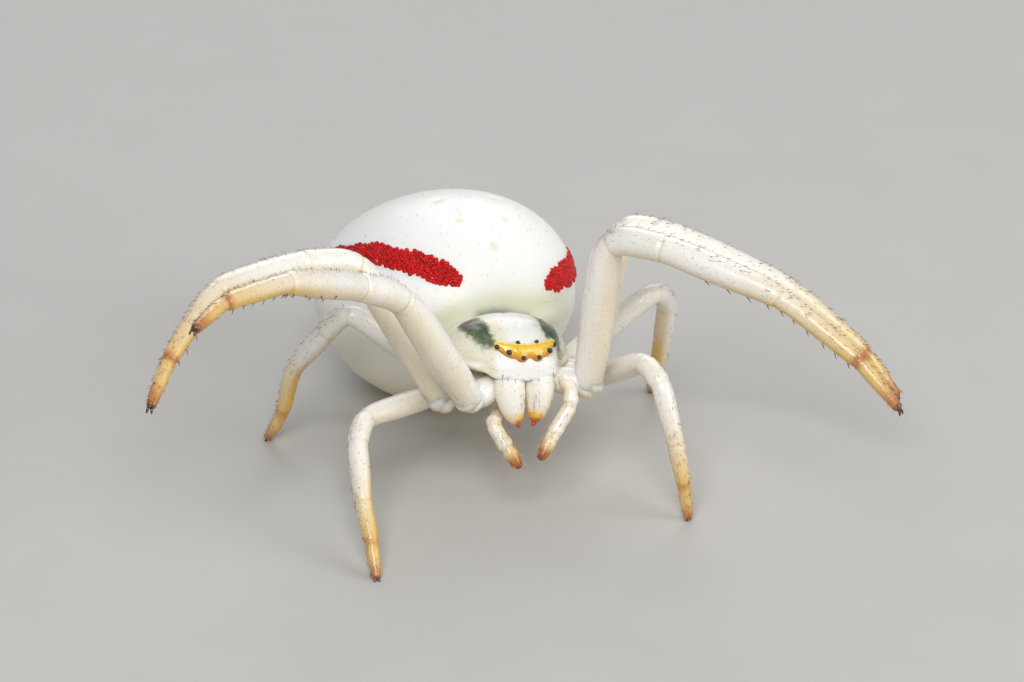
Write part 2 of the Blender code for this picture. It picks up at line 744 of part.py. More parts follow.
def build_foot(leg, parts, cutters):
    """Metatarsus, tarsus and the pair of claws, flat where the foot rests on the floor."""
    tip = leg.joints[5]
    forward = leg.directions[4]
    points, widths = chain(
        leg.half_bend(3, False),
        leg.straight(3, (0.45,)),
        leg.whole_bend(4),
        leg.straight(4, (0.45, 0.80)),
    )
    points.append(tip)
    widths.append(leg.width(4, 1.0))
    foot = tube(leg.name + "_tarsus", points, widths, parts, FOOT_BEVEL, "limb_end")
    across = forward.cross(Vector((0, 0, 1))).normalized()
    down = across.cross(forward).normalized()
    if down.z > 0:
        down = -down
    claws = []
    for side in (-1, 1):
        root = tip - forward * CLAW_SINK + across * side * CLAW_SPREAD
        points = [root]
        for ahead, drop, out in CLAW_HOOK:
            points.append(root + (forward * ahead + down * drop + across * side * out) * MM)
        claws.append(tube("claw", points, [radius * MM for radius in CLAW_RADII], cutters, CLAW_BEVEL))
    combine(foot, claws, "UNION")
    if leg.pair in RESTING_LEGS:
        flatten_on_floor(foot)


def flatten_on_floor(item):
    """Cut off what lies under the floor and close the cut with a flat."""
    form = bmesh.new()
    form.from_mesh(item.data)
    everything = form.verts[:] + form.edges[:] + form.faces[:]
    bmesh.ops.bisect_plane(form, geom=everything, dist=0.0005 * MM, plane_co=(0, 0, 0),
                           plane_no=(0, 0, -1), clear_outer=True)
    rim = [edge for edge in form.edges if edge.is_boundary]
    bmesh.ops.holes_fill(form, edges=rim, sides=0)
    form.to_mesh(item.data)
    form.free()
    clean = tidied(item.data)
    clean.to_mesh(item.data)
    clean.free()


def build_abdomen(parts, cutters):
    """The abdomen, hollowed at the front where it overhangs the carapace, flat under the belly."""
    shape = abdomen_form().mesh()
    shape.transform(ABDOMEN_FRAME)
    abdomen = solid("abdomen", shape, parts, "abdomen")
    combine(abdomen, grown_body(SEAM, cutters), "DIFFERENCE")
    flatten_on_floor(abdomen)


def build_spinnerets(parts, cutters):
    """The small cluster of spinning cones under the abdomen's hind end."""
    root = ABDOMEN_FRAME @ (Vector(SPINNERET_ROOT) * MM)
    out = (ABDOMEN_FRAME.to_3x3() @ Vector(SPINNERET_OUT)).normalized()
    across = Vector((1, 0, 0))
    up = across.cross(out).normalized()
    points = [root + out * reach * MM for reach, _ in SPINNERET_RING]
    widths = [width * MM for _, width in SPINNERET_RING]
    cluster = tube("spinnerets", points, widths, parts, kind="spinneret")
    widths = [width * MM for _, width in CONE_SHAPE]
    cones = []
    for side in (-1, 1):
        near, far = (across * side * spread for spread in SPINNERET_SPREAD)
        for lift, reach in SPINNERET_CONES:
            start = root + (out * SPINNERET_START + near + up * lift) * MM
            end = root + (out * reach + far + up * lift * CONE_CLOSING) * MM
            points = [start.lerp(end, place) for place, _ in CONE_SHAPE]
            cones.append(tube("cone", points, widths, cutters, FOOT_BEVEL))
    combine(cluster, cones, "UNION")
    space = abdomen_form(SEAM).mesh()
    space.transform(ABDOMEN_FRAME)
    combine(cluster, [solid("abdomen_space", space, cutters)], "DIFFERENCE")


def centre_on_origin(parts):
    """Hang every part under one empty, so that the origin is under the middle of the model."""
    bpy.context.view_layer.update()
    corners = [item.matrix_world @ vertex.co for item in parts.objects for vertex in item.data.vertices]
    middle_x = (min(point.x for point in corners) + max(point.x for point in corners)) / 2
    middle_y = (min(point.y for point in corners) + max(point.y for point in corners)) / 2
    stance = bpy.data.objects.new("stance", None)
    stance.location = (-middle_x, -middle_y, 0.0)
    for item in list(parts.objects):
        item.parent = stance
    parts.objects.link(stance)


def smooth_faces(parts):
    """Shade the round forms smooth."""
    for item in parts.objects:
        if item.type == "MESH":
            item.data.shade_smooth()
            item.data.set_sharp_from_angle(angle=math.radians(SMOOTH_ANGLE))


def main():
    """Build the whole spider."""
    clear_scene()
    parts = named_collection("crab_spider")
    cutters = named_collection("crab_spider_cutters")
    build_front_body(parts, cutters)
    build_abdomen(parts, cutters)
    build_spinnerets(parts, cutters)
    build_chelicerae(parts, cutters)
    build_palps(parts, cutters)
    for side_name in SIDES:
        before = None
        for pair in LEG_RADII:
            leg = Leg(pair, side_name)
            build_thigh(leg, before, parts, cutters)
            build_shin(leg, parts)
            build_foot(leg, parts, cutters)
            before = leg
    smooth_faces(parts)
    centre_on_origin(parts)


main()
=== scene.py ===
"""Looks of a life-size crab spider model, a white female with red side stripes in her ambush pose.

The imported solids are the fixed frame. Skins, coat, eyes and claws are modelled round them here, in
the same place and size, then dressed with procedural finishes, lit and framed as in the photograph.
"""

import logging
import math
from dataclasses import dataclass, field, replace
from enum import Enum
from typing import Iterable, Optional, Sequence, Union

import bpy
import numpy as np
from mathutils import Matrix, Vector


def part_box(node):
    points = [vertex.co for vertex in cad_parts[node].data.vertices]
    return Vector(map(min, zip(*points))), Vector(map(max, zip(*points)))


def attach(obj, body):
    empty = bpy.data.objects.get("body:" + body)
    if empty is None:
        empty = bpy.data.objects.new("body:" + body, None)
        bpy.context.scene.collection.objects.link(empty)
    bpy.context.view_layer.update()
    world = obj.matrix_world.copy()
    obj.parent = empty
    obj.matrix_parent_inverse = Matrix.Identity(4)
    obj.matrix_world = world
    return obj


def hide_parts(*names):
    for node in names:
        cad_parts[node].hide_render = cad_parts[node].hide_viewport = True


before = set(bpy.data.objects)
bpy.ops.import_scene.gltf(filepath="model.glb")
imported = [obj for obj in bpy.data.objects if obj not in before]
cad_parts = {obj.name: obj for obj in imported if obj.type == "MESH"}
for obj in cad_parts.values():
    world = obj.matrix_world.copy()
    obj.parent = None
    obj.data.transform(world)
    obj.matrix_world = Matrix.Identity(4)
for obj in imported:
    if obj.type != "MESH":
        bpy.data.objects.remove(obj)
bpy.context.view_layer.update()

log = logging.getLogger("crab_spider")

MM = 0.001
BODY = "root"
SEED = 11

Array = np.ndarray
Colour = tuple[float, float, float]
Stations = tuple[tuple[float, ...], ...]


class Slot(Enum):
    """Material slots of the record."""

    CARAPACE = "carapace"
    ABDOMEN = "abdomen"
    LEG = "leg"
    LEG_TIP = "leg_tip"
    EYE = "eye"


class Side(Enum):
    """The two sides of the animal, with the sign of X on each."""

    LEFT = 1
    RIGHT = -1

    @property
    def word(self) -> str:
        """The side's word in a node's name."""
        return self.name.lower()


# Numbers and shapes


def smooth_read(stations: Stations, places: Array, column: int) -> Array:
    """Read one column of (place, value, ...) stations at many places, on a smooth curve.

    Args:
        stations: Rows of a place and its values, in rising order of place.
        places: Where to read.
        column: Which value of the row to read.

    Returns:
        The values at the places, held at the end values outside the rows.
    """
    knots = np.array([row[0] for row in stations])
    values = np.array([row[column] for row in stations])
    last = len(knots) - 1
    places = np.clip(np.asarray(places, float), knots[0], knots[last])
    index = np.clip(np.searchsorted(knots, places, side="right") - 1, 0, last - 1)
    before = np.maximum(index - 1, 0)
    after = np.minimum(index + 2, last)
    span = knots[index + 1] - knots[index]
    part = (places - knots[index]) / span
    slope_in = (values[index + 1] - values[before]) / (knots[index + 1] - knots[before]) * span
    slope_out = (values[after] - values[index]) / (knots[after] - knots[index]) * span
    square = part * part
    cube = square * part
    return (
        (2 * cube - 3 * square + 1) * values[index]
        + (cube - 2 * square + part) * slope_in
        + (3 * square - 2 * cube) * values[index + 1]
        + (cube - square) * slope_out
    )


def ease(values: Array, low: float, high: float) -> Array:
    """Rise smoothly from 0 at low to 1 at high."""
    part = np.clip((values - low) / (high - low), 0.0, 1.0)
    return part * part * (3.0 - 2.0 * part)


def hump(distance: Array, width: float) -> Array:
    """A smooth bump of height 1 that fades out over a width."""
    return np.exp(-((distance / width) ** 2))


def unit(vectors: Array) -> Array:
    """Give vectors in rows the length of 1."""
    return vectors / np.maximum(np.linalg.norm(vectors, axis=-1, keepdims=True), 1e-12)


def turned(points: Array, place: Matrix) -> Array:
    """Carry points in rows through a matrix."""
    table = np.array(place)
    return points @ table[:3, :3].T + table[:3, 3]


def run_along(line: Array) -> Array:
    """How far each point of a line lies from its start, along the line."""
    return np.concatenate([[0.0], np.cumsum(np.linalg.norm(np.diff(line, axis=0), axis=1))])


def read_line(run: Array, passed: Array, line: Array) -> Array:
    """Points at distances along a line, where passed is how far along it each of its points lies."""
    return np.stack([np.interp(run, passed, line[:, axis]) for axis in range(3)], axis=-1)


def straight_line(start: Vector, end: Vector, steps: Array) -> Array:
    """Points at shares of the way from a start to an end."""
    return np.array(start)[None, :] + steps[:, None] * np.array(end - start)[None, :]


def evenly(rows: Iterable[Sequence[float]]) -> Stations:
    """Turn rows of values into stations that are spread evenly from 0 to 1."""
    table = list(rows)
    return tuple((float(step), *row) for step, row in zip(np.linspace(0.0, 1.0, len(table)), table))


def round_end(distance: Array, reach: float, least: float) -> Array:
    """Factors that round a limb's end off: 1 past the reach from its end, the root of least at it."""
    return np.sqrt(np.clip(1.0 - np.clip(1.0 - distance / reach, 0.0, 1.0) ** 2, least, 1.0))


def path_distance(points: Array, line: Array) -> tuple[Array, Array]:
    """Measure points against a line of straight pieces.

    Args:
        points: Points in rows.
        line: The line's corners in rows.

    Returns:
        The distance of each point to the line, and its place along the line from 0 to 1.
    """
    best = np.full(len(points), np.inf)
    where = np.zeros(len(points))
    passed = run_along(line)
    for start, end, before, after in zip(line[:-1], line[1:], passed[:-1], passed[1:]):
        step = end - start
        part = np.clip(((points - start) @ step) / (step @ step), 0.0, 1.0)
        distance = np.linalg.norm(points - start - part[:, None] * step, axis=1)
        nearer = distance < best
        best = np.where(nearer, distance, best)
        where = np.where(nearer, (before + part * (after - before)) / passed[-1], where)
    return best, where


def polygon_depth(points: Array, corners: Array) -> Array:
    """Signed distance of flat points to a closed outline, above zero inside it.

    Args:
        points: Points in rows of two.
        corners: The outline's corners in rows of two.

    Returns:
        The distances.
    """
    best = np.full(len(points), 1e9)
    inside = np.zeros(len(points), bool)
    for start, end in zip(corners, np.roll(corners, -1, axis=0)):
        step = end - start
        part = np.clip(((points - start) @ step) / (step @ step), 0.0, 1.0)
        best = np.minimum(best, np.linalg.norm(points - start - part[:, None] * step, axis=1))
        crosses = (start[1] > points[:, 1]) != (end[1] > points[:, 1])
        rise = end[1] - start[1] if abs(end[1] - start[1]) > 1e-12 else 1e-12
        inside ^= crosses & (points[:, 0] < start[0] + (points[:, 1] - start[1]) * step[0] / rise)
    return np.where(inside, best, -best)


@dataclass(frozen=True)
class Form:
    """A closed round form along Y, drawn by stations of half width, height and depth.

    Sizes are in metres. A place along the form runs from -1 at the front to 1 at the back, and an
    angle round it runs from 0 at its left over 90 degrees on top.
    """

    front: float
    back: float
    level: float
    stations: Stations
    blunt_front: float
    blunt_back: float
    grow: float = 0.0

    def reach(self, along: Array) -> tuple[Array, Array, Array]:
        """Half width, height and depth at places along the form.

        Args:
            along: Places along the form, from -1 to 1.

        Returns:
            The three sizes at each place.
        """
        power = np.where(along < 0, self.blunt_front, self.blunt_back)
        taper = np.maximum(0.0, 1.0 - np.abs(along) ** power) ** (1.0 / power)
        width, height, depth = (smooth_read(self.stations, along, column) for column in (1, 2, 3))
        return (width + self.grow) * taper, (height + self.grow) * taper, (depth + self.grow) * taper

    def along(self, back: Array) -> Array:
        """Turn distances along Y into places from -1 to 1."""
        return (2.0 * back - self.front - self.back) / (self.back - self.front)

    def surface(self, along: Array, angle: Array) -> Array:
        """Points on the form at places along it and angles round it, in radians.

        Args:
            along: Places along the form, from -1 to 1.
            angle: Angles round it, in radians.

        Returns:
            The points in rows.
        """
        width, height, depth = self.reach(along)
        lift = np.where(np.sin(angle) > 0, height, depth)
        middle = (self.front + self.back) / 2
        half = (self.back - self.front) / 2
        return np.stack(
            [width * np.cos(angle), middle + half * along, self.level + lift * np.sin(angle)], axis=-1
        )

    def normal(self, along: Array, angle: Array) -> Array:
        """Outward directions of the form at places along it and angles round it.

        Args:
            along: Places along the form, from -1 to 1.
            angle: Angles round it, in radians.

        Returns:
            The unit vectors in rows.
        """
        step = 1e-3
        low = np.clip(along - step, -0.9999, 0.9999)
        high = np.clip(along + step, -0.9999, 0.9999)
        lengthwise = self.surface(high, angle) - self.surface(low, angle)
        around = self.surface(along, angle + step) - self.surface(along, angle - step)
        return unit(np.cross(lengthwise, around))

    def top(self, sideways: Array, back: Array) -> Array:
        """Height of the upper surface over points.

        Args:
            sideways: The points' X.
            back: The points' Y.

        Returns:
            The heights.
        """
        width, height, _ = self.reach(self.along(back))
        inside = np.maximum(0.0, 1.0 - (sideways / np.maximum(width, 1e-9)) ** 2)
        return self.level + height * np.sqrt(inside)

    def fullness(self, points: Array) -> Array:
        """A number under 1 inside the form and over 1 outside it.

        Args:
            points: The points in rows.

        Returns:
            The numbers.
        """
        along = self.along(points[:, 1])
        held = np.clip(along, -0.9995, 0.9995)
        width, height, depth = self.reach(held)
        up = points[:, 2] - self.level
        lift = np.where(up > 0, height, depth)
        cross = (points[:, 0] / width) ** 2 + (up / lift) ** 2
        return np.where(np.abs(along) > 0.9995, 9.0, cross)

    def even_places(self, count: int, typical: float) -> Array:
        """Places from the front to the back that lie evenly on the form's profile.

        Args:
            count: How many places.
            typical: Half width that stands for the whole form.

        Returns:
            The places, from -1 to 1.
        """
        turn = np.linspace(0.0, math.pi, 4001)
        power = np.where(turn < math.pi / 2, self.blunt_front, self.blunt_back)
        along = -np.sign(np.cos(turn)) * np.abs(np.cos(turn)) ** (2.0 / power)
        taper = np.abs(np.sin(turn)) ** (2.0 / power)
        half = (self.back - self.front) / 2
        run = np.hypot(np.diff(along) * half, np.diff(taper) * typical)
        passed = np.concatenate([[0.0], np.cumsum(run)])
        return np.interp(np.linspace(0.0, passed[-1], count), passed, along)


# Driving sizes, the same as the solids'

CARAPACE_HALF = 1.56 * MM
CARAPACE_FORM = Form(
    front=-1.50 * MM,
    back=1.20 * MM,
    level=-0.30 * MM,
    stations=(
        (-1.00, 0.56 * CARAPACE_HALF, 0.47 * MM, 0.16 * MM),
        (-0.75, 0.64 * CARAPACE_HALF, 0.77 * MM, 0.20 * MM),
        (-0.50, 0.78 * CARAPACE_HALF, 0.95 * MM, 0.20 * MM),
        (-0.20, 0.94 * CARAPACE_HALF, 1.05 * MM, 0.18 * MM),
        (0.15, 1.01 * CARAPACE_HALF, 1.03 * MM, 0.16 * MM),
        (0.50, 1.06 * CARAPACE_HALF, 0.95 * MM, 0.16 * MM),
        (1.00, 0.90 * CARAPACE_HALF, 0.63 * MM, 0.16 * MM),
    ),
    blunt_front=5.0,
    blunt_back=2.2,
)
STERNUM_HALF = 0.74 * MM
STERNUM_DEPTH = 0.68 * MM
STERNUM_FORM = Form(
    front=-1.12 * MM,
    back=1.18 * MM,
    level=-0.34 * MM,
    stations=(
        (-1.0, 0.95 * STERNUM_HALF, 0.30 * MM, 0.80 * STERNUM_DEPTH),
        (0.0, STERNUM_HALF, 0.30 * MM, STERNUM_DEPTH),
        (1.0, 0.80 * STERNUM_HALF, 0.30 * MM, 0.80 * STERNUM_DEPTH),
    ),
    blunt_front=3.0,
    blunt_back=2.4,
)
ABDOMEN_HALF = 3.10 * MM
ABDOMEN_REACH = 3.275 * MM
ABDOMEN_FORM = Form(
    front=-ABDOMEN_REACH,
    back=ABDOMEN_REACH,
    level=0.0,
    stations=(
        (-1.0, 0.90 * ABDOMEN_HALF, 2.20 * MM, 2.10 * MM),
        (-0.5, 0.97 * ABDOMEN_HALF, 2.30 * MM, 2.55 * MM),
        (0.0, 1.00 * ABDOMEN_HALF, 2.32 * MM, 2.85 * MM),
        (0.5, 1.02 * ABDOMEN_HALF, 2.20 * MM, 2.70 * MM),
        (1.0, 0.90 * ABDOMEN_HALF, 2.00 * MM, 2.20 * MM),
    ),
    blunt_front=2.1,
    blunt_back=2.1,
)

# Eyes: sideways and back in the frame of the carapace, and radius, in mm

EYES = {
    "median_front": (0.196, -1.454, 0.060),
    "side_front": (0.504, -1.321, 0.070),
    "median_back": (0.242, -1.212, 0.052),
    "side_back": (0.715, -1.114, 0.062),
}
FRONT_EYES = ("median_front", "side_front")

# How far each eye's centre is set outwards from its solid's, in mm

EYE_LIFTS = {"median_front": 0.055, "side_front": 0.060, "median_back": 0.004, "side_back": 0.030}


def frame_at(centre: Vector, yaw: float = 0.0, pitch: float = 0.0, roll: float = 0.0) -> Matrix:
    """Stand a frame at a place, turned round Z, then tipped up at its front, then rolled about Y.

    Args:
        centre: The place.
        yaw: Degrees round Z.
        pitch: Degrees that its front tips up by.
        roll: Degrees about its own Y.

    Returns:
        The frame.
    """
    placed = Matrix.Translation(centre)
    for angle, axis in ((yaw, "Z"), (-pitch, "X"), (roll, "Y")):
        placed = placed @ Matrix.Rotation(math.radians(angle), 4, axis)
    return placed


@dataclass(frozen=True)
class Stance:
    """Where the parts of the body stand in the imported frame."""

    carapace_centre: Vector = Vector((-0.224, -3.418, 3.417)) * MM
    carapace_pitch: float = 9.1
    carapace_yaw: float = 8.1
    carapace_roll: float = 8.3
    trunk_centre: Vector = Vector((0.0, -3.50, 3.39)) * MM
    trunk_pitch: float = 9.0
    jaw_pivot: Vector = Vector((0.0, -1.30, -0.50)) * MM
    jaw_lean: float = 4.5
    abdomen_centre: Vector = Vector((-0.30, 1.05, 2.72)) * MM
    abdomen_pitch: float = 10.0
    abdomen_yaw: float = 6.0
    abdomen_roll: float = 12.5

    def carapace_local(self) -> Matrix:
        """The carapace's frame before the model was centred on its origin."""
        return frame_at(self.carapace_centre, self.carapace_yaw, self.carapace_pitch, self.carapace_roll)

    def shift(self) -> Vector:
        """How far the model was moved to stand over its origin, read from the front eyes.

        Returns:
            The shift along the floor.
        """
        sideways, back, radius = EYES["median_front"]
        height = float(CARAPACE_FORM.top(np.array(sideways * MM), np.array(back * MM)))
        drawn = self.carapace_local() @ Vector((0.0, (back - 0.04) * MM, height + 0.25 * radius * MM))
        corners = [corner for word in ("left", "right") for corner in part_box("eye_median_front_" + word)]
        found = sum(corners, Vector()) / len(corners)
        return Vector((found.x - drawn.x, found.y - drawn.y, 0.0))

    def model(self) -> Matrix:
        """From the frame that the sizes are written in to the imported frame."""
        return Matrix.Translation(self.shift())

    def carapace(self) -> Matrix:
        """The carapace's own frame."""
        return self.model() @ self.carapace_local()

    def jaws(self) -> Matrix:
        """The jaws' frame, the carapace's leant a little where the jaws hang."""
        lean = frame_at(self.jaw_pivot, roll=-self.jaw_lean)
        return self.carapace() @ lean @ Matrix.Translation(-self.jaw_pivot)

    def trunk(self) -> Matrix:
        """The frame of the sternum, the waist and the hips."""
        return self.model() @ frame_at(self.trunk_centre, pitch=self.trunk_pitch)

    def abdomen(self) -> Matrix:
        """The abdomen's own frame."""
        return self.model() @ frame_at(self.abdomen_centre, self.abdomen_yaw, self.abdomen_pitch)


STANCE = Stance()
MODEL = STANCE.model()
CARAPACE = STANCE.carapace()
ABDOMEN = STANCE.abdomen()
JAWS = STANCE.jaws()
TRUNK = STANCE.trunk()

LEG_RADII = {
    1: {"coxa": 0.34, "femur": 0.42, "patella": 0.36, "tibia": 0.35, "metatarsus": 0.25, "tarsus": 0.18},
    2: {"coxa": 0.33, "femur": 0.39, "patella": 0.34, "tibia": 0.33, "metatarsus": 0.25, "tarsus": 0.18},
    3: {"coxa": 0.28, "femur": 0.29, "patella": 0.26, "tibia": 0.25, "metatarsus": 0.21, "tarsus": 0.16},
    4: {"coxa": 0.28, "femur": 0.29, "patella": 0.26, "tibia": 0.25, "metatarsus": 0.21, "tarsus": 0.16},
}
LEG_LENGTHS = {
    1: (3.90, 1.50, 3.00, 2.40, 1.45),
    2: (3.95, 1.50, 2.95, 2.35, 1.40),
    3: (2.30, 0.90, 1.50, 1.05, 0.90),
    4: (2.90, 0.95, 1.70, 1.20, 0.90),
}
COXA_ROOTS = {1: (0.54, -0.76), 2: (0.68, -0.36), 3: (0.68, 0.33), 4: (0.42, 0.95)}
COXA_ROOT_LEVEL = -0.66

# Each leg's hip in the frame of the trunk, and the direction of its five segments in degrees:
# round from straight ahead towards the leg's own side, then upwards

LEG_POSES = {
    (1, Side.RIGHT): ((1.45, -1.15, -0.80), ((67, 58), (65, 28), (51, 24), (51, 11), (41, -1))),
    (2, Side.RIGHT): ((1.90, -0.45, -0.98), ((117, 59), (75, 13), (59, 8), (43, -21), (33, -25))),
    (3, Side.RIGHT): ((1.80, 0.30, -1.10), ((65, 4), (26, -13), (9, -38), (1, -39), (5, -43))),
    (4, Side.RIGHT): ((1.45, 1.00, -0.95), ((105, 38), (139, -52), (144, -52), (119, -79), (121, -63))),
    (1, Side.LEFT): ((1.45, -1.15, -0.80), ((65, 84), (42, 4), (46, -10), (38, -24), (38, -39))),
    (2, Side.LEFT): ((1.65, -0.35, -0.92), ((100, 78), (82, -18), (73, -26), (67, -41), (65, -53))),
    (3, Side.LEFT): ((2.15, 0.28, -1.18), ((15, 34), (9, -10), (26, -68), (45, -77), (50, -81))),
    (4, Side.LEFT): ((1.45, 1.00, -0.95), ((88, 36), (139, -50), (173, -66), (174, -62), (169, -46))),
}
HINGE_BEND = {1: 0.62, 2: 0.66, 3: 0.42, 4: 0.50}
SEGMENT_SHAPES = {
    "femur": ((0.0, 0.80), (0.18, 0.92), (0.45, 1.0), (0.75, 0.95), (1.0, 0.84)),
    "patella": ((0.0, 0.92), (0.45, 1.0), (1.0, 0.92)),
    "tibia": ((0.0, 0.94), (0.30, 1.0), (0.70, 0.92), (1.0, 0.80)),
    "metatarsus": ((0.0, 1.0), (0.5, 0.94), (1.0, 0.84)),
    "tarsus": ((0.0, 1.0), (0.5, 0.90), (1.0, 0.62)),
}
SEGMENTS = tuple(SEGMENT_SHAPES)
COXA_SHAPE = ((0.0, 0.70), (0.08, 0.80), (0.30, 0.93), (0.55, 1.02), (0.76, 0.98), (0.84, 0.86), (0.88, 0.60))
TROCHANTER_SHAPE = (
    (-1.0, 0.30), (-0.90, 0.62), (-0.60, 0.88), (-0.28, 0.98), (0.02, 0.93), (0.32, 0.99), (0.72, 0.90),
    (1.0, 0.50),
)

# A claw's way points from its root, in mm: ahead, down and to its own side

CLAW_HOOK = (
    (0.0, 0.0, 0.0), (0.10, 0.0, 0.0), (0.155, 0.018, 0.008), (0.19, 0.050, 0.012), (0.20, 0.085, 0.014)
)

PALP_PATHS = {
    Side.LEFT: (
        (0.84, -4.65, 2.96), (0.93, -5.05, 2.88), (0.88, -5.25, 2.54), (0.37, -5.52, 1.98),
        (-0.03, -5.80, 1.49),
    ),
    Side.RIGHT: (
        (-0.42, -4.10, 2.55), (-0.62, -4.42, 2.13), (-1.00, -5.15, 2.25), (-0.73, -5.55, 1.74),
        (-0.51, -5.80, 1.34),
    ),
}
PALP_RADII = (0.15, 0.17, 0.18, 0.18, 0.12)

# Jaws in their own frame: way points, half width and half depth

JAW_LINE = (
    ((0.365, -1.22, -0.40), 0.360, 0.28),
    ((0.376, -1.25, -0.62), 0.374, 0.31),
    ((0.372, -1.28, -0.85), 0.372, 0.32),
    ((0.345, -1.31, -1.06), 0.335, 0.30),
    ((0.308, -1.33, -1.26), 0.275, 0.26),
    ((0.270, -1.34, -1.43), 0.205, 0.20),
    ((0.245, -1.34, -1.56), 0.095, 0.10),
)
FANG_LINE = (((0.22, -1.33, -1.46), 0.070), ((0.20, -1.38, -1.59), 0.055), ((0.14, -1.37, -1.66), 0.015))


# Modelling with Blender's operators


def deselect_all() -> None:
    """Leave object mode clear of any selection."""
    for item in bpy.context.selected_objects:
        item.select_set(False)


def select_only(*items: bpy.types.Object) -> None:
    """Select these objects alone and make the first of them active."""
    deselect_all()
    for item in items:
        item.select_set(True)
    bpy.context.view_layer.objects.active = items[0]


def apply_modifier(item: bpy.types.Object, kind: str, **settings: object) -> None:
    """Give an object a modifier and apply it.

    Args:
        item: The object.
        kind: The modifier's type.
        settings: Its settings by name.
    """
    select_only(item)
    change = item.modifiers.new(kind.lower(), kind)
    for name, value in settings.items():
        setattr(change, name, value)
    bpy.ops.object.modifier_apply(modifier=change.name)


def subdivide(item: bpy.types.Object, levels: int) -> None:
    """Round a mesh off by Subdivision Surface."""
    apply_modifier(item, "SUBSURF", levels=levels, render_levels=levels)


def read_vertices(item: bpy.types.Object, what: str) -> Array:
    """Read three numbers of every vertex of a mesh object.

    Args:
        item: The object.
        what: Their name in Blender.

    Returns:
        The numbers in rows.
    """
    flat = np.empty(len(item.data.vertices) * 3)
    item.data.vertices.foreach_get(what, flat)
    return flat.reshape(-1, 3)


def read_points(item: bpy.types.Object) -> Array:
    """The vertices of a mesh object, in rows."""
    return read_vertices(item, "co")


def write_points(item: bpy.types.Object, points: Array) -> None:
    """Put the vertices of a mesh object at new places."""
    item.data.vertices.foreach_set("co", np.ascontiguousarray(points, np.float32).ravel())
    item.data.update()


def read_normals(item: bpy.types.Object) -> Array:
    """The vertex normals of a mesh object, in rows."""
    return read_vertices(item, "normal")


def paint(item: bpy.types.Object, name: str, values: Array) -> None:
    """Keep one number for each vertex, for a finish to read."""
    attribute = item.data.attributes.get(name) or item.data.attributes.new(name, "FLOAT", "POINT")
    attribute.data.foreach_set("value", np.ascontiguousarray(values, np.float32))


def shade_smooth(item: bpy.types.Object) -> None:
    """Shade every face smooth."""
    select_only(item)
    bpy.ops.object.shade_smooth()


def face_out(item: bpy.types.Object) -> None:
    """Turn the faces of a closed mesh outwards.

    Args:
        item: The object.
    """
    select_only(item)
    bpy.ops.object.mode_set(mode="EDIT")
    bpy.ops.mesh.select_all(action="SELECT")
    bpy.ops.mesh.normals_make_consistent(inside=False)
    bpy.ops.object.mode_set(mode="OBJECT")


def join(name: str, items: Sequence[bpy.types.Object]) -> bpy.types.Object:
    """Join mesh objects into the first of them.

    Args:
        name: The joined object's name.
        items: The objects.

    Returns:
        The joined object.
    """
    select_only(*items)
    if len(items) > 1:
        bpy.ops.object.join()
    whole = bpy.context.view_layer.objects.active
    whole.name = name
    whole.data.name = name
    return whole


def dress(
    item: bpy.types.Object, material: bpy.types.Material, nodes: Iterable[str] = ()
) -> bpy.types.Object:
    """Give a finished piece its material and its body, and hide the solids that it stands for.

    Args:
        item: The piece.
        material: Its finish.
        nodes: The solids that it replaces.

    Returns:
        The piece.
    """
    item.data.materials.clear()
    item.data.materials.append(material)
    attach(item, BODY)
    names = list(nodes)
    if names:
        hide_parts(*names)
    faces = len(item.data.polygons)
    log.info("%s: %d faces, %s", item.name, faces, material.name)
    return item


def grow_tube(name: str, points: Array, radii: Array, sides: int) -> bpy.types.Object:
    """Grow a limb from a disc by extruding, turning and resizing its end along a line.

    Args:
        name: The object's name.
        points: The line's points in rows.
        radii: The half width at each point.
        sides: How many sides the limb has.

    Returns:
        The closed mesh object.
    """
    tangents = unit(np.gradient(points, axis=0))
    deselect_all()
    first = Vector(tangents[0])
    bpy.ops.mesh.primitive_circle_add(
        vertices=sides,
        radius=float(radii[0]),
        fill_type="NGON",
        location=Vector(points[0]),
        rotation=first.to_track_quat("Z", "Y").to_euler(),
    )
    item = bpy.context.view_layer.objects.active
    item.name = name
    bpy.ops.object.mode_set(mode="EDIT")
    bpy.ops.mesh.select_all(action="SELECT")
    for index in range(1, len(points)):
        centre = Vector(points[index])
        step = centre - Vector(points[index - 1])
        bpy.ops.mesh.extrude_region_move(TRANSFORM_OT_translate={"value": step})
        swing = Vector(tangents[index - 1]).rotation_difference(Vector(tangents[index])).to_euler("XYZ")
        for axis, angle in zip("XYZ", swing):
            if abs(angle) > 1e-4:
                bpy.ops.transform.rotate(
                    value=-angle, orient_axis=axis, orient_type="GLOBAL", center_override=centre
                )
        scale = float(radii[index] / radii[index - 1])
        bpy.ops.transform.resize(value=(scale, scale, scale), center_override=centre)
    bpy.ops.mesh.select_all(action="SELECT")
    bpy.ops.mesh.normals_make_consistent(inside=False)
    bpy.ops.object.mode_set(mode="OBJECT")
    select_only(item)
    bpy.ops.object.transform_apply(location=True, rotation=True, scale=True)
    return item


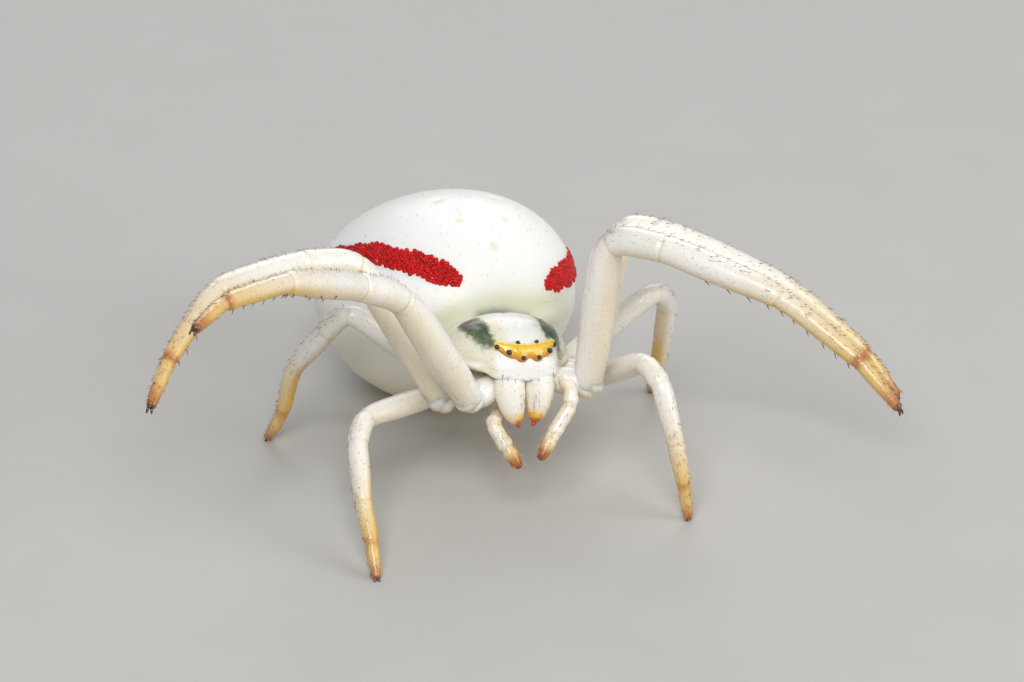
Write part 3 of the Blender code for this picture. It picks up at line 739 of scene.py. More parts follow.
def model_form(name: str, form: Form, place: Matrix, typical: float, cuts: int) -> bpy.types.Object:
    """Round a subdivided cube into a form of the body.

    Args:
        name: The object's name.
        form: The shape to take.
        place: The form's frame.
        typical: Half width that stands for the whole form, to spread the faces evenly.
        cuts: How often each edge of the cube is cut.

    Returns:
        The closed mesh object.
    """
    deselect_all()
    bpy.ops.mesh.primitive_cube_add(size=2.0)
    item = bpy.context.view_layer.objects.active
    item.name = name
    bpy.ops.object.mode_set(mode="EDIT")
    bpy.ops.mesh.select_all(action="SELECT")
    bpy.ops.mesh.subdivide(number_cuts=cuts, smoothness=0.0)
    bpy.ops.transform.tosphere(value=1.0)
    bpy.ops.object.mode_set(mode="OBJECT")
    ball = unit(read_points(item))
    turn = np.arccos(np.clip(-ball[:, 1], -1.0, 1.0))
    around = np.arctan2(ball[:, 2], ball[:, 0])
    places = form.even_places(2001, typical)
    along = np.interp(turn / math.pi, np.linspace(0.0, 1.0, len(places)), places)
    write_points(item, turned(form.surface(along, around), place))
    face_out(item)
    return item


def model_ball(
    name: str, centre: Vector, radius: float, segments: int = 24, rings: int = 16
) -> bpy.types.Object:
    """Model a ball.

    Args:
        name: The object's name.
        centre: Its centre.
        radius: Its radius.
        segments: Faces round it.
        rings: Faces from pole to pole.

    Returns:
        The mesh object.
    """
    deselect_all()
    bpy.ops.mesh.primitive_uv_sphere_add(segments=segments, ring_count=rings, radius=radius, location=centre)
    item = bpy.context.view_layer.objects.active
    item.name = name
    bpy.ops.object.transform_apply(location=True, rotation=True, scale=True)
    return item


def mesh_of(name: str, points: Array, faces: list[list[int]]) -> bpy.types.Object:
    """Put points and faces together as a mesh object.

    Args:
        name: The object's name.
        points: Its points, in blocks of rows.
        faces: The corners of each face.

    Returns:
        The mesh object.
    """
    mesh = bpy.data.meshes.new(name)
    mesh.from_pydata(points.reshape(-1, 3).tolist(), [], faces)
    item = bpy.data.objects.new(name, mesh)
    bpy.context.scene.collection.objects.link(item)
    return item


def unwrap_place(around: Array, along: Array) -> Array:
    """Places on a surface's unwrap, from shares round it and along it, kept off the unwrap's edges."""
    return np.stack([around, along], axis=-1) * 0.98 + 0.005


def lay_unwrap(item: bpy.types.Object, seats: Array, pattern: Array) -> None:
    """Write the UV map that a piece made of many copies is baked with.

    Args:
        item: The piece, its points in the order of the copies.
        seats: Each copy's place on the unwrap.
        pattern: Each point's place in a copy.
    """
    loops = np.empty(len(item.data.loops), np.int32)
    item.data.loops.foreach_get("vertex_index", loops)
    places = seats[loops // len(pattern)] + pattern[loops % len(pattern)]
    layer = item.data.uv_layers.new(name="OFBake")
    layer.data.foreach_set("uv", np.ascontiguousarray(places, np.float32).ravel())


def mark_limb(item: bpy.types.Object, **marks: Array) -> None:
    """Paint the marks that a limb's finish reads, each held from 0 to 1."""
    for name, values in marks.items():
        paint(item, name, np.clip(values, 0.0, 1.0))


def press_on_floor(item: bpy.types.Object) -> None:
    """Press what is under floor level flat on the floor.

    Args:
        item: The object.
    """
    points = read_points(item)
    points[:, 2] = np.maximum(points[:, 2], 0.0)
    write_points(item, points)


# Shader maths and finishes

Value = Union["Wire", float, Sequence[float]]


class Wire:
    """A shader socket that takes part in Python's own sums."""

    def __init__(self, painter: "Painter", socket: bpy.types.NodeSocket) -> None:
        """Keep the socket and the painter that owns it."""
        self.painter = painter
        self.socket = socket

    def _math(self, operation: str, *values: Value, clamp: bool = False) -> "Wire":
        """Add a Math node that works on these values.

        Args:
            operation: The node's operation.
            values: What it works on.
            clamp: Whether the result is held from 0 to 1.

        Returns:
            The result.
        """
        settings = {"operation": operation, "use_clamp": clamp}
        made = self.painter.node("ShaderNodeMath", settings, dict(enumerate(values)))
        return Wire(self.painter, made.outputs[0])

    def __add__(self, other: Value) -> "Wire":
        """Sum."""
        return self._math("ADD", self, other)

    __radd__ = __add__

    def __sub__(self, other: Value) -> "Wire":
        """Difference."""
        return self._math("SUBTRACT", self, other)

    def __rsub__(self, other: Value) -> "Wire":
        """Difference with this wire taken away."""
        return self._math("SUBTRACT", other, self)

    def __mul__(self, other: Value) -> "Wire":
        """Product."""
        return self._math("MULTIPLY", self, other)

    __rmul__ = __mul__

    def held(self) -> "Wire":
        """This value, held between 0 and 1."""
        return self._math("ADD", self, 0.0, clamp=True)


class Painter:
    """Draws one procedural material."""

    def __init__(self, name: str) -> None:
        """Start a material with a Principled shader.

        Args:
            name: The material's name.
        """
        self.material = bpy.data.materials.new(name)
        self.material.use_nodes = True
        self.tree = self.material.node_tree
        self.shader = self.tree.nodes["Principled BSDF"]

    def node(
        self, kind: str, settings: Optional[dict] = None, inputs: Optional[dict] = None
    ) -> bpy.types.Node:
        """Add one node.

        Args:
            kind: The node's type.
            settings: Its own settings by name.
            inputs: A value or a wire for each socket, by name or place.

        Returns:
            The node.
        """
        made = self.tree.nodes.new(kind)
        for name, value in (settings or {}).items():
            setattr(made, name, value)
        for key, value in (inputs or {}).items():
            self.plug(made.inputs[key], value)
        return made

    def plug(self, socket: bpy.types.NodeSocket, value: Value) -> None:
        """Link a wire to a socket, or set its value.

        Args:
            socket: The socket.
            value: The wire or the value.
        """
        if isinstance(value, Wire):
            self.tree.links.new(value.socket, socket)
        elif isinstance(value, (tuple, list)) and socket.type == "RGBA":
            socket.default_value = (*value[:3], 1.0)
        else:
            socket.default_value = value

    def set(self, **values: Value) -> None:
        """Set sockets of the shader by name, with underscores for spaces."""
        for name, value in values.items():
            self.plug(self.shader.inputs[name.replace("_", " ")], value)

    def place(self) -> Wire:
        """The point on the object in millimetres.

        Returns:
            The point.
        """
        coords = self.node("ShaderNodeTexCoord")
        scaled = self.node(
            "ShaderNodeVectorMath",
            {"operation": "SCALE"},
            {0: Wire(self, coords.outputs["Object"]), "Scale": 1.0 / MM},
        )
        return Wire(self, scaled.outputs[0])

    def painted(self, name: str) -> Wire:
        """A number kept for each vertex."""
        return Wire(self, self.node("ShaderNodeAttribute", {"attribute_name": name}).outputs["Fac"])

    def noise(self, place: Wire, scale: float, detail: float = 2.0, roughness: float = 0.5) -> Wire:
        """Cloudy noise from 0 to 1.

        Args:
            place: Where to read it.
            scale: How fine it is, in waves for each millimetre.
            detail: How many finer layers it has.
            roughness: How strong these are.

        Returns:
            The noise.
        """
        inputs = {"Vector": place, "Scale": scale, "Detail": detail, "Roughness": roughness}
        made = self.node("ShaderNodeTexNoise", None, inputs)
        return Wire(self, made.outputs["Fac"])

    def cells(self, place: Wire, scale: float) -> tuple[Wire, Wire]:
        """Distance to the nearest of many scattered points, and a random number for that point.

        Args:
            place: Where to read them.
            scale: How many points there are for each millimetre.

        Returns:
            The distance and the number.
        """
        made = self.node("ShaderNodeTexVoronoi", None, {"Vector": place, "Scale": scale})
        parts = self.node("ShaderNodeSeparateColor", None, {0: Wire(self, made.outputs["Color"])})
        return Wire(self, made.outputs["Distance"]), Wire(self, parts.outputs[0])

    def rise(self, value: Value, low: float, high: float) -> Wire:
        """Rise smoothly from 0 at low to 1 at high, or fall where low is the larger.

        Args:
            value: What to read.
            low: Where the result is 0.
            high: Where the result is 1.

        Returns:
            The result.
        """
        made = self.node(
            "ShaderNodeMapRange",
            {"interpolation_type": "SMOOTHSTEP"},
            {"Value": value, "From Min": low, "From Max": high, "To Min": 0.0, "To Max": 1.0},
        )
        return Wire(self, made.outputs[0])

    def blend(self, share: Value, first: Value, second: Value) -> Wire:
        """Mix two colours."""
        made = self.node("ShaderNodeMix", {"data_type": "RGBA"}, {0: share, 6: first, 7: second})
        return Wire(self, made.outputs[2])

    def bump(self, height: Wire, strength: float, distance: float) -> None:
        """Raise the surface by a height from 0 to 1 over a distance in metres.

        Args:
            height: The height.
            strength: How much of it shows.
            distance: The distance.
        """
        made = self.node(
            "ShaderNodeBump", None, {"Strength": strength, "Distance": distance, "Height": height}
        )
        self.plug(self.shader.inputs["Normal"], Wire(self, made.outputs[0]))


@dataclass(frozen=True)
class LimbFinish:
    """Pearly cuticle of legs, palps and jaws: translucent cream, white grains, dark pores; its marks add a
    painted highlight on the back and painted reflection and shade below.
    """

    name: str
    cream: Colour = (0.78, 0.725, 0.58)
    pearl: Colour = (0.88, 0.865, 0.815)
    straw: Colour = (0.73, 0.47, 0.10)
    rust: Colour = (0.42, 0.11, 0.018)
    dark: Colour = (0.050, 0.018, 0.010)
    pore: Colour = (0.16, 0.12, 0.10)
    pore_size: float = 0.20
    pore_cells: float = 15.0

    def build(self) -> bpy.types.Material:
        """Draw the material.

        Returns:
            The material.
        """
        art = Painter(self.name)
        place = art.place()
        cloud = art.noise(place, 1.3, 3.0)
        grain = art.noise(place, 17.0, 2.0, 0.6)
        flecks = art.rise(grain, 0.50, 0.66)
        # The painted pearl mark whitens the back of legs and palps as a painted highlight; cloud and flecks
        # are the cuticle's own pale grains.
        pearl = (art.painted("pearl") * 0.80 + art.rise(cloud, 0.35, 0.75) * 0.40 + flecks * 0.25).held()
        colour = art.blend(pearl, self.cream, self.pearl)
        # The painted straw mark is the cuticle's own yellow towards the tips; on the underside of legs and
        # palps it is also painted reflection and shade.
        straw = (art.painted("straw") * (0.75 + 0.5 * cloud)).held()
        colour = art.blend(straw, colour, self.straw)
        rust = (art.painted("rust") * (0.55 + 0.9 * grain)).held()
        colour = art.blend(rust, colour, self.rust)
        colour = art.blend(art.painted("tip").held(), colour, self.dark)
        distance, pick = art.cells(place, self.pore_cells)
        pores = art.rise(distance, self.pore_size, self.pore_size * 0.55) * art.rise(pick, 0.25, 0.35)
        colour = art.blend(pores * art.painted("pores") * (0.35 + 0.6 * pick), colour, self.pore)
        colour = art.blend(art.painted("joint") * 0.16, colour, self.straw)
        art.set(
            Base_Color=colour,
            Roughness=0.22 + 0.14 * grain + 0.10 * art.painted("joint"),
            Subsurface_Weight=0.35,
            Subsurface_Radius=(1.0, 0.72, 0.42),
            Subsurface_Scale=0.22 * MM,
            IOR=1.50,
            Coat_Weight=0.45,
            Coat_Roughness=0.10,
        )
        relief = grain * 0.5 + art.noise(place, 6.0, 2.0) * 0.8 - pores * 0.5
        art.bump(relief, 0.45, 0.020 * MM)
        return art.material


@dataclass(frozen=True)
class CarapaceFinish:
    """Glassy cream shield with a white middle and mottled green flanks, a painted highlight on its rim and a
    painted sheen at its back.
    """

    name: str = "carapace_cuticle"
    cream: Colour = (0.82, 0.78, 0.62)
    white: Colour = (0.87, 0.865, 0.825)
    green: Colour = (0.040, 0.075, 0.040)
    moss: Colour = (0.15, 0.20, 0.075)
    straw: Colour = (0.78, 0.60, 0.24)
    pore: Colour = (0.06, 0.05, 0.045)

    def build(self) -> bpy.types.Material:
        """Draw the material.

        Returns:
            The material.
        """
        art = Painter(self.name)
        place = art.place()
        cloud = art.noise(place, 2.2, 3.0)
        grain = art.noise(place, 16.0, 2.0, 0.6)
        mottle = art.noise(place, 7.5, 4.0, 0.65)
        white = (art.painted("white") * (0.75 + 0.5 * cloud) + 0.25 * art.rise(grain, 0.52, 0.7)).held()
        colour = art.blend(white, self.cream, self.white)
        colour = art.blend((art.painted("straw") * (0.6 + 0.8 * cloud)).held(), colour, self.straw)
        edge = art.painted("green") + (mottle - 0.5) * 0.26
        patch = art.rise(edge, -0.05, 0.08)
        inner = art.blend(art.rise(mottle, 0.46, 0.66), self.green, self.moss)
        colour = art.blend(patch * (0.74 + 0.40 * cloud).held(), colour, inner)
        distance, pick = art.cells(place, 14.0)
        pores = art.rise(distance, 0.20, 0.10) * art.rise(pick, 0.25, 0.35)
        colour = art.blend(pores * art.painted("pores") * (0.35 + 0.55 * pick), colour, self.pore)
        art.set(
            Base_Color=colour,
            Roughness=0.24 + 0.16 * grain,
            Subsurface_Weight=0.30,
            Subsurface_Radius=(1.0, 0.80, 0.45),
            Subsurface_Scale=0.20 * MM,
            IOR=1.48,
            Coat_Weight=0.30,
            Coat_Roughness=0.10,
        )
        art.bump(grain * 0.5 + mottle * 0.4 - pores * 0.4, 0.40, 0.018 * MM)
        return art.material


@dataclass(frozen=True)
class AbdomenFinish:
    """Taut satin skin, chalk white over crystals, with painted shade on its lower front, sides and folds, a
    painted shadow along the fold over the carapace, dimples and red stripes.
    """

    name: str = "abdomen_skin_finish"
    chalk: Colour = (0.95, 0.945, 0.91)
    shade: Colour = (0.68, 0.69, 0.50)
    # Colour of the painted shadow along the fold over the carapace.
    crease: Colour = (0.075, 0.10, 0.06)
    dimple: Colour = (0.72, 0.69, 0.40)
    belly: Colour = (0.88, 0.81, 0.60)
    red: Colour = (0.46, 0.006, 0.006)
    pore: Colour = (0.45, 0.40, 0.30)

    def build(self) -> bpy.types.Material:
        """Draw the material.

        Returns:
            The material.
        """
        art = Painter(self.name)
        place = art.place()
        cloud = art.noise(place, 0.8, 3.0)
        grain = art.noise(place, 15.0, 2.0, 0.6)
        jag = art.noise(place, 6.5, 2.0, 0.6)
        # Painted shade: darker greenish cream on the lower front, the lower sides and in the hollows of the
        # folds.
        shade = (art.painted("shade") * (0.75 + 0.5 * cloud)).held()
        colour = art.blend(shade, self.chalk, self.shade)
        colour = art.blend(art.painted("belly") * 0.85, colour, self.belly)
        colour = art.blend(art.painted("dimple") * 0.55, colour, self.dimple)
        # Painted shade round the fold over the carapace, then a narrow painted shadow along it.
        colour = art.blend(art.painted("contact_shade"), colour, self.shade)
        colour = art.blend(art.painted("crease") * (0.6 + 0.5 * grain), colour, self.crease)
        stripe = art.rise(art.painted("stripe") + (jag - 0.5) * 0.22, 0.055, 0.09)
        colour = art.blend(stripe, colour, self.red)
        distance, pick = art.cells(place, 4.6)
        pores = art.rise(distance, 0.075, 0.04) * art.rise(pick, 0.5, 0.6)
        colour = art.blend(pores * 0.45, colour, self.pore)
        art.set(
            Base_Color=colour,
            Roughness=0.36 + 0.14 * grain,
            Subsurface_Weight=0.40,
            Subsurface_Radius=(1.0, 0.92, 0.75),
            Subsurface_Scale=0.35 * MM,
            IOR=1.45,
            Coat_Weight=0.12,
            Coat_Roughness=0.25,
        )
        art.bump(grain * 0.5 + art.noise(place, 3.0, 2.0) * 0.6, 0.30, 0.020 * MM)
        return art.material


@dataclass(frozen=True)
class EnamelFinish:
    """A glossy, slightly translucent finish with cloudy depth, for stripe beads, ridge and rims."""

    name: str
    deep: Colour
    bright: Colour
    roughness: float
    cloud_scale: float
    subsurface: float = 0.15
    coat: float = 0.6
    ior: float = 1.50
    relief: float = 0.012
    under: Optional[Colour] = None

    def build(self) -> bpy.types.Material:
        """Draw the material, with the colour under painted in where there is one: on the ridge, a deeper
        orange that is partly its own colour and partly painted shade.

        Returns:
            The material.
        """
        art = Painter(self.name)
        place = art.place()
        cloud = art.noise(place, self.cloud_scale, 3.0, 0.6)
        colour = art.blend(art.rise(cloud, 0.36, 0.64), self.deep, self.bright)
        # The under colour is partly the ridge's own deeper orange and partly painted shade below its crest.
        if self.under is not None:
            colour = art.blend((art.painted("under") * (0.7 + 0.6 * cloud)).held(), colour, self.under)
        art.set(
            Base_Color=colour,
            Roughness=self.roughness + 0.08 * cloud,
            Subsurface_Weight=self.subsurface,
            Subsurface_Radius=(1.0, 0.35, 0.12),
            Subsurface_Scale=0.08 * MM,
            IOR=self.ior,
            Coat_Weight=self.coat,
            Coat_Roughness=0.06,
        )
        art.bump(cloud, 0.35, self.relief * MM)
        return art.material


@dataclass(frozen=True)
class HairFinish:
    """Stiff bristles: dark at the root, paler to the tip."""

    name: str
    root: Colour
    end: Colour
    roughness: float = 0.38

    def build(self) -> bpy.types.Material:
        """Draw the material.

        Returns:
            The material.
        """
        art = Painter(self.name)
        place = art.place()
        tint = art.noise(place, 3.0, 1.0)
        colour = art.blend((art.painted("length") * (0.6 + 0.8 * tint)).held(), self.root, self.end)
        art.set(Base_Color=colour, Roughness=self.roughness + 0.1 * tint, IOR=1.50)
        return art.material


@dataclass(frozen=True)
class FloorFinish:
    """Plain pale paper."""

    name: str = "studio_paper"
    colour: Colour = (0.54, 0.53, 0.51)
    spot: Colour = (0.51, 0.50, 0.48)

    def build(self) -> bpy.types.Material:
        """Draw the material.

        Returns:
            The material.
        """
        art = Painter(self.name)
        place = art.place()
        cloud = art.noise(place, 0.4, 4.0)
        art.set(Base_Color=art.blend(cloud, self.colour, self.spot), Roughness=0.7 + 0.1 * cloud, IOR=1.4)
        return art.material


# The coat


@dataclass
class Coat:
    """Many bristles of one kind, copied from one modelled bristle and joined.

    A patch is the size of one bristle on the unwrap of the surface.
    """

    name: str
    sides: int = 3
    rings: int = 3
    patch: float = 0.003
    roots: list = field(default_factory=list)

    def bristle(self) -> tuple[Array, list[tuple[int, ...]]]:
        """Model one straight bristle, one unit long and one unit thick.

        Returns:
            Its vertices in rows and its faces.
        """
        deselect_all()
        bpy.ops.mesh.primitive_cone_add(
            vertices=self.sides,
            radius1=1.0,
            radius2=0.0,
            depth=1.0,
            location=(0.0, 0.0, 0.5),
            end_fill_type="NGON",
        )
        item = bpy.context.view_layer.objects.active
        bpy.ops.object.mode_set(mode="EDIT")
        for ring in range(1, self.rings):
            bpy.ops.mesh.select_all(action="SELECT")
            bpy.ops.mesh.bisect(plane_co=(0.0, 0.0, ring / self.rings), plane_no=(0.0, 0.0, 1.0))
        bpy.ops.object.mode_set(mode="OBJECT")
        bpy.ops.object.transform_apply(location=True, rotation=True, scale=True)
        points = read_points(item)
        fat = 1.0 - points[:, 2] ** 2
        cone = np.maximum(1.0 - points[:, 2], 1e-6)
        points[:, :2] *= (fat / cone * (points[:, 2] < 0.999))[:, None]
        faces = [tuple(face.vertices) for face in item.data.polygons]
        bpy.data.objects.remove(item, do_unlink=True)
        return points, faces

    def add(
        self, root: Array, lie: Array, lift: Array, length: Array, width: Array, bend: Array, unwrap: Array
    ) -> None:
        """Set bristles on a surface.

        Args:
            root: Root points in rows, on the surface.
            lie: The direction that each bristle leans to, along the surface.
            lift: The direction away from the surface.
            length: How long each is.
            width: Half width at each root.
            bend: How far each curls towards its lie, as a share of its length.
            unwrap: Each root's place on an unwrap of the surface.
        """
        batch = (root, lie, lift, length, width, bend, unwrap)
        self.roots.append([np.asarray(part, float) for part in batch])

    def build(self, material: bpy.types.Material, slot: Slot) -> bpy.types.Object:
        """Join every bristle into one piece and dress it.

        Args:
            material: The bristles' finish.
            slot: The record's slot that it belongs to; not used.

        Returns:
            The piece.
        """
        root, lie, lift, length, width, bend, unwrap = (
            np.concatenate([batch[column] for batch in self.roots]) for column in range(7)
        )
        points, faces = self.bristle()
        across = unit(np.cross(lie, lift))
        front = np.cross(across, lie)
        count = len(root)
        ring_x, ring_y, rise = (points[:, axis][None, :, None] for axis in range(3))
        run = length[:, None, None]
        body = (
            root[:, None, :]
            + (ring_x * across[:, None, :] + ring_y * front[:, None, :]) * width[:, None, None]
            + lie[:, None, :] * rise * run
            - front[:, None, :] * (rise ** 2) * run * bend[:, None, None]
        )
        offsets = np.arange(count)[:, None] * len(points)
        all_faces = [row.tolist() for face in faces for row in np.array(face)[None, :] + offsets]
        item = mesh_of(self.name, body, all_faces)
        paint(item, "length", np.tile(points[:, 2], count))
        lay_unwrap(item, unwrap, self.patch * ((points[:, :2] * 0.25 + 0.5) * 0.6 + points[:, 2:3] * 0.4))
        shade_smooth(item)
        face_out(item)
        return dress(item, material)


class Limb:
    """A bent tube with a centre line, widths, a back and a belly side, and a coat."""

    def __init__(self, points: Array, radii: Array, back_side: Array) -> None:
        """Keep the line.

        Args:
            points: Centre line in rows, closely spaced.
            radii: Half width at each point.
            back_side: Direction away from the inner side of the bends, at each point.
        """
        self.points = points
        self.radii = radii
        self.tangents = unit(np.gradient(points, axis=0))
        back_side = back_side - (back_side * self.tangents).sum(1)[:, None] * self.tangents
        self.backs = unit(back_side)
        self.flanks = np.cross(self.tangents, self.backs)
        self.passed = run_along(points)

    @property
    def length(self) -> float:
        """How long the centre line is."""
        return float(self.passed[-1])

    def at(self, run: Array, table: Array) -> Array:
        """Read a table of the line's points at distances along it."""
        return np.interp(run, self.passed, table) if table.ndim == 1 else read_line(run, self.passed, table)

    def surface(self, run: Array, angle: Array) -> tuple[Array, Array, Array]:
        """Points, outward directions and lengthwise directions of the skin.

        Args:
            run: Distances along the limb.
            angle: Angles round it, 0 on one flank and 90 degrees on the back.

        Returns:
            The three tables, in rows.
        """
        flank = np.cos(angle)[:, None] * self.at(run, self.flanks)
        out = unit(flank + np.sin(angle)[:, None] * self.at(run, self.backs))
        skin = self.at(run, self.points) + out * self.at(run, self.radii)[:, None]
        return skin, out, unit(self.at(run, self.tangents))

    def locate(self, points: Array) -> tuple[Array, Array]:
        """Find points of the skin on the limb.

        Args:
            points: The points in rows.

        Returns:
            Each one's distance along the limb, and its share of back side (1) or belly side (-1).
        """
        nearest = np.empty(len(points), int)
        for start in range(0, len(points), 4000):
            block = points[start:start + 4000]
            gaps = ((block[:, None, :] - self.points[None, :, :]) ** 2).sum(-1)
            nearest[start:start + 4000] = gaps.argmin(1)
        out = points - self.points[nearest]
        ahead = (out * self.tangents[nearest]).sum(1)
        out = unit(out - ahead[:, None] * self.tangents[nearest])
        return self.passed[nearest] + ahead, (out * self.backs[nearest]).sum(1)

    def comb(
        self,
        coat: Coat,
        random: np.random.Generator,
        run: Array,
        angle: Array,
        length: tuple[float, float],
        width: float,
        stand: tuple[float, float],
        bend: float = 0.25,
    ) -> None:
        """Set bristles on the limb, leaning to its tip.

        Args:
            coat: The coat that takes them.
            random: Source of variety.
            run: Distances of the roots along the limb.
            angle: Angles of the roots round it.
            length: Shortest and longest length.
            width: Half width at the root.
            stand: Least and most angle off the skin, in degrees.
            bend: How far they curl back to the skin.
        """
        root, out, ahead = self.surface(run, angle)
        count = len(run)
        tilt = np.radians(random.uniform(stand[0], stand[1], count))[:, None]
        sway = random.normal(0.0, 0.16, count)[:, None] * np.cross(ahead, out)
        lie = unit(np.cos(tilt) * ahead + np.sin(tilt) * out + sway)
        lengths = random.uniform(length[0], length[1], count)
        unwrap = unwrap_place((angle % (2 * math.pi)) / (2 * math.pi), run / self.length)
        widths = np.full(count, width) * random.uniform(0.8, 1.2, count)
        coat.add(root - out * (0.6 * width), lie, out, lengths, widths, np.full(count, bend), unwrap)


# Studio


@dataclass(frozen=True)
class PhotoCamera:
    """The photograph's long macro view, from the front and above."""

    azimuth: float = -17.2
    elevation: float = 27.2
    roll: float = 0.96
    target: Vector = Vector((0.32, -0.73, 3.75)) * MM
    distance: float = 150.0 * MM
    lens: float = 225.4
    sensor: float = 36.0

    def build(self) -> bpy.types.Object:
        """Add the camera and make it the scene's.

        Returns:
            The camera.
        """
        turn, rise, lean = (math.radians(angle) for angle in (self.azimuth, self.elevation, self.roll))
        back = Vector((math.sin(turn) * math.cos(rise), -math.cos(turn) * math.cos(rise), math.sin(rise)))
        right = Vector((math.cos(turn), math.sin(turn), 0.0))
        up = back.cross(right)
        level = right * math.cos(lean) + up * math.sin(lean)
        upright = up * math.cos(lean) - right * math.sin(lean)
        deselect_all()
        bpy.ops.object.camera_add(location=self.target + back * self.distance)
        camera = bpy.context.view_layer.objects.active
        camera.name = "photo_camera"
        camera.rotation_euler = Matrix((level, upright, back)).transposed().to_euler()
        camera.data.lens = self.lens
        camera.data.sensor_width = self.sensor
        camera.data.clip_start = 5.0 * MM
        camera.data.clip_end = 2.0
        bpy.context.scene.camera = camera
        return camera


@dataclass(frozen=True)
class Lamp:
    """One soft square light that faces the model: place and width in mm, power in watts."""

    name: str
    place: tuple[float, float, float]
    width: float
    power: float
    aim_level: float = 3.0 * MM

    def build(self) -> None:
        """Add the light."""
        place = Vector(self.place) * MM
        deselect_all()
        bpy.ops.object.light_add(type="AREA", location=place)
        lamp = bpy.context.view_layer.objects.active
        lamp.name = self.name
        lamp.data.size = self.width * MM
        lamp.data.energy = self.power
        aim = Vector((0.0, 0.0, self.aim_level)) - place
        lamp.rotation_euler = aim.to_track_quat("-Z", "Y").to_euler()


@dataclass(frozen=True)
class Studio:
    """A pale floor and soft light."""

    floor_size: float = 600.0 * MM
    lamps: tuple[Lamp, ...] = (
        Lamp("key_light", (-50.0, -118.0, 142.0), 95.0, 0.23),
        Lamp("fill_light", (130.0, -105.0, 75.0), 120.0, 0.15),
        Lamp("rim_light", (40.0, 130.0, 90.0), 110.0, 0.08),
    )
    world_colour: Colour = (0.96, 0.97, 1.0)
    world_level: float = 0.29

    def build(self) -> None:
        """Add the floor, the lights and the world."""
        deselect_all()
        bpy.ops.mesh.primitive_plane_add(size=self.floor_size, location=(0.0, 0.0, 0.0))
        floor = bpy.context.view_layer.objects.active
        floor.name = "studio_floor"
        floor.data.materials.append(FloorFinish().build())
        for lamp in self.lamps:
            lamp.build()
        world = bpy.data.worlds.new("studio_world")
        world.use_nodes = True
        sky = world.node_tree.nodes["Background"].inputs
        sky["Color"].default_value = (*self.world_colour, 1.0)
        sky["Strength"].default_value = self.world_level
        bpy.context.scene.world = world
        bpy.context.scene.view_settings.view_transform = "Standard"


# Legs


def heading(turn: float, rise: float, side: Side) -> Vector:
    """Find the direction of a leg's segment.

    Args:
        turn: Degrees from straight ahead towards the side.
        rise: Degrees upwards.
        side: The leg's side.

    Returns:
        The unit vector.
    """
    turn, rise = math.radians(turn), math.radians(rise)
    flat = math.cos(rise)
    return Vector((side.value * math.sin(turn) * flat, -math.cos(turn) * flat, math.sin(rise)))


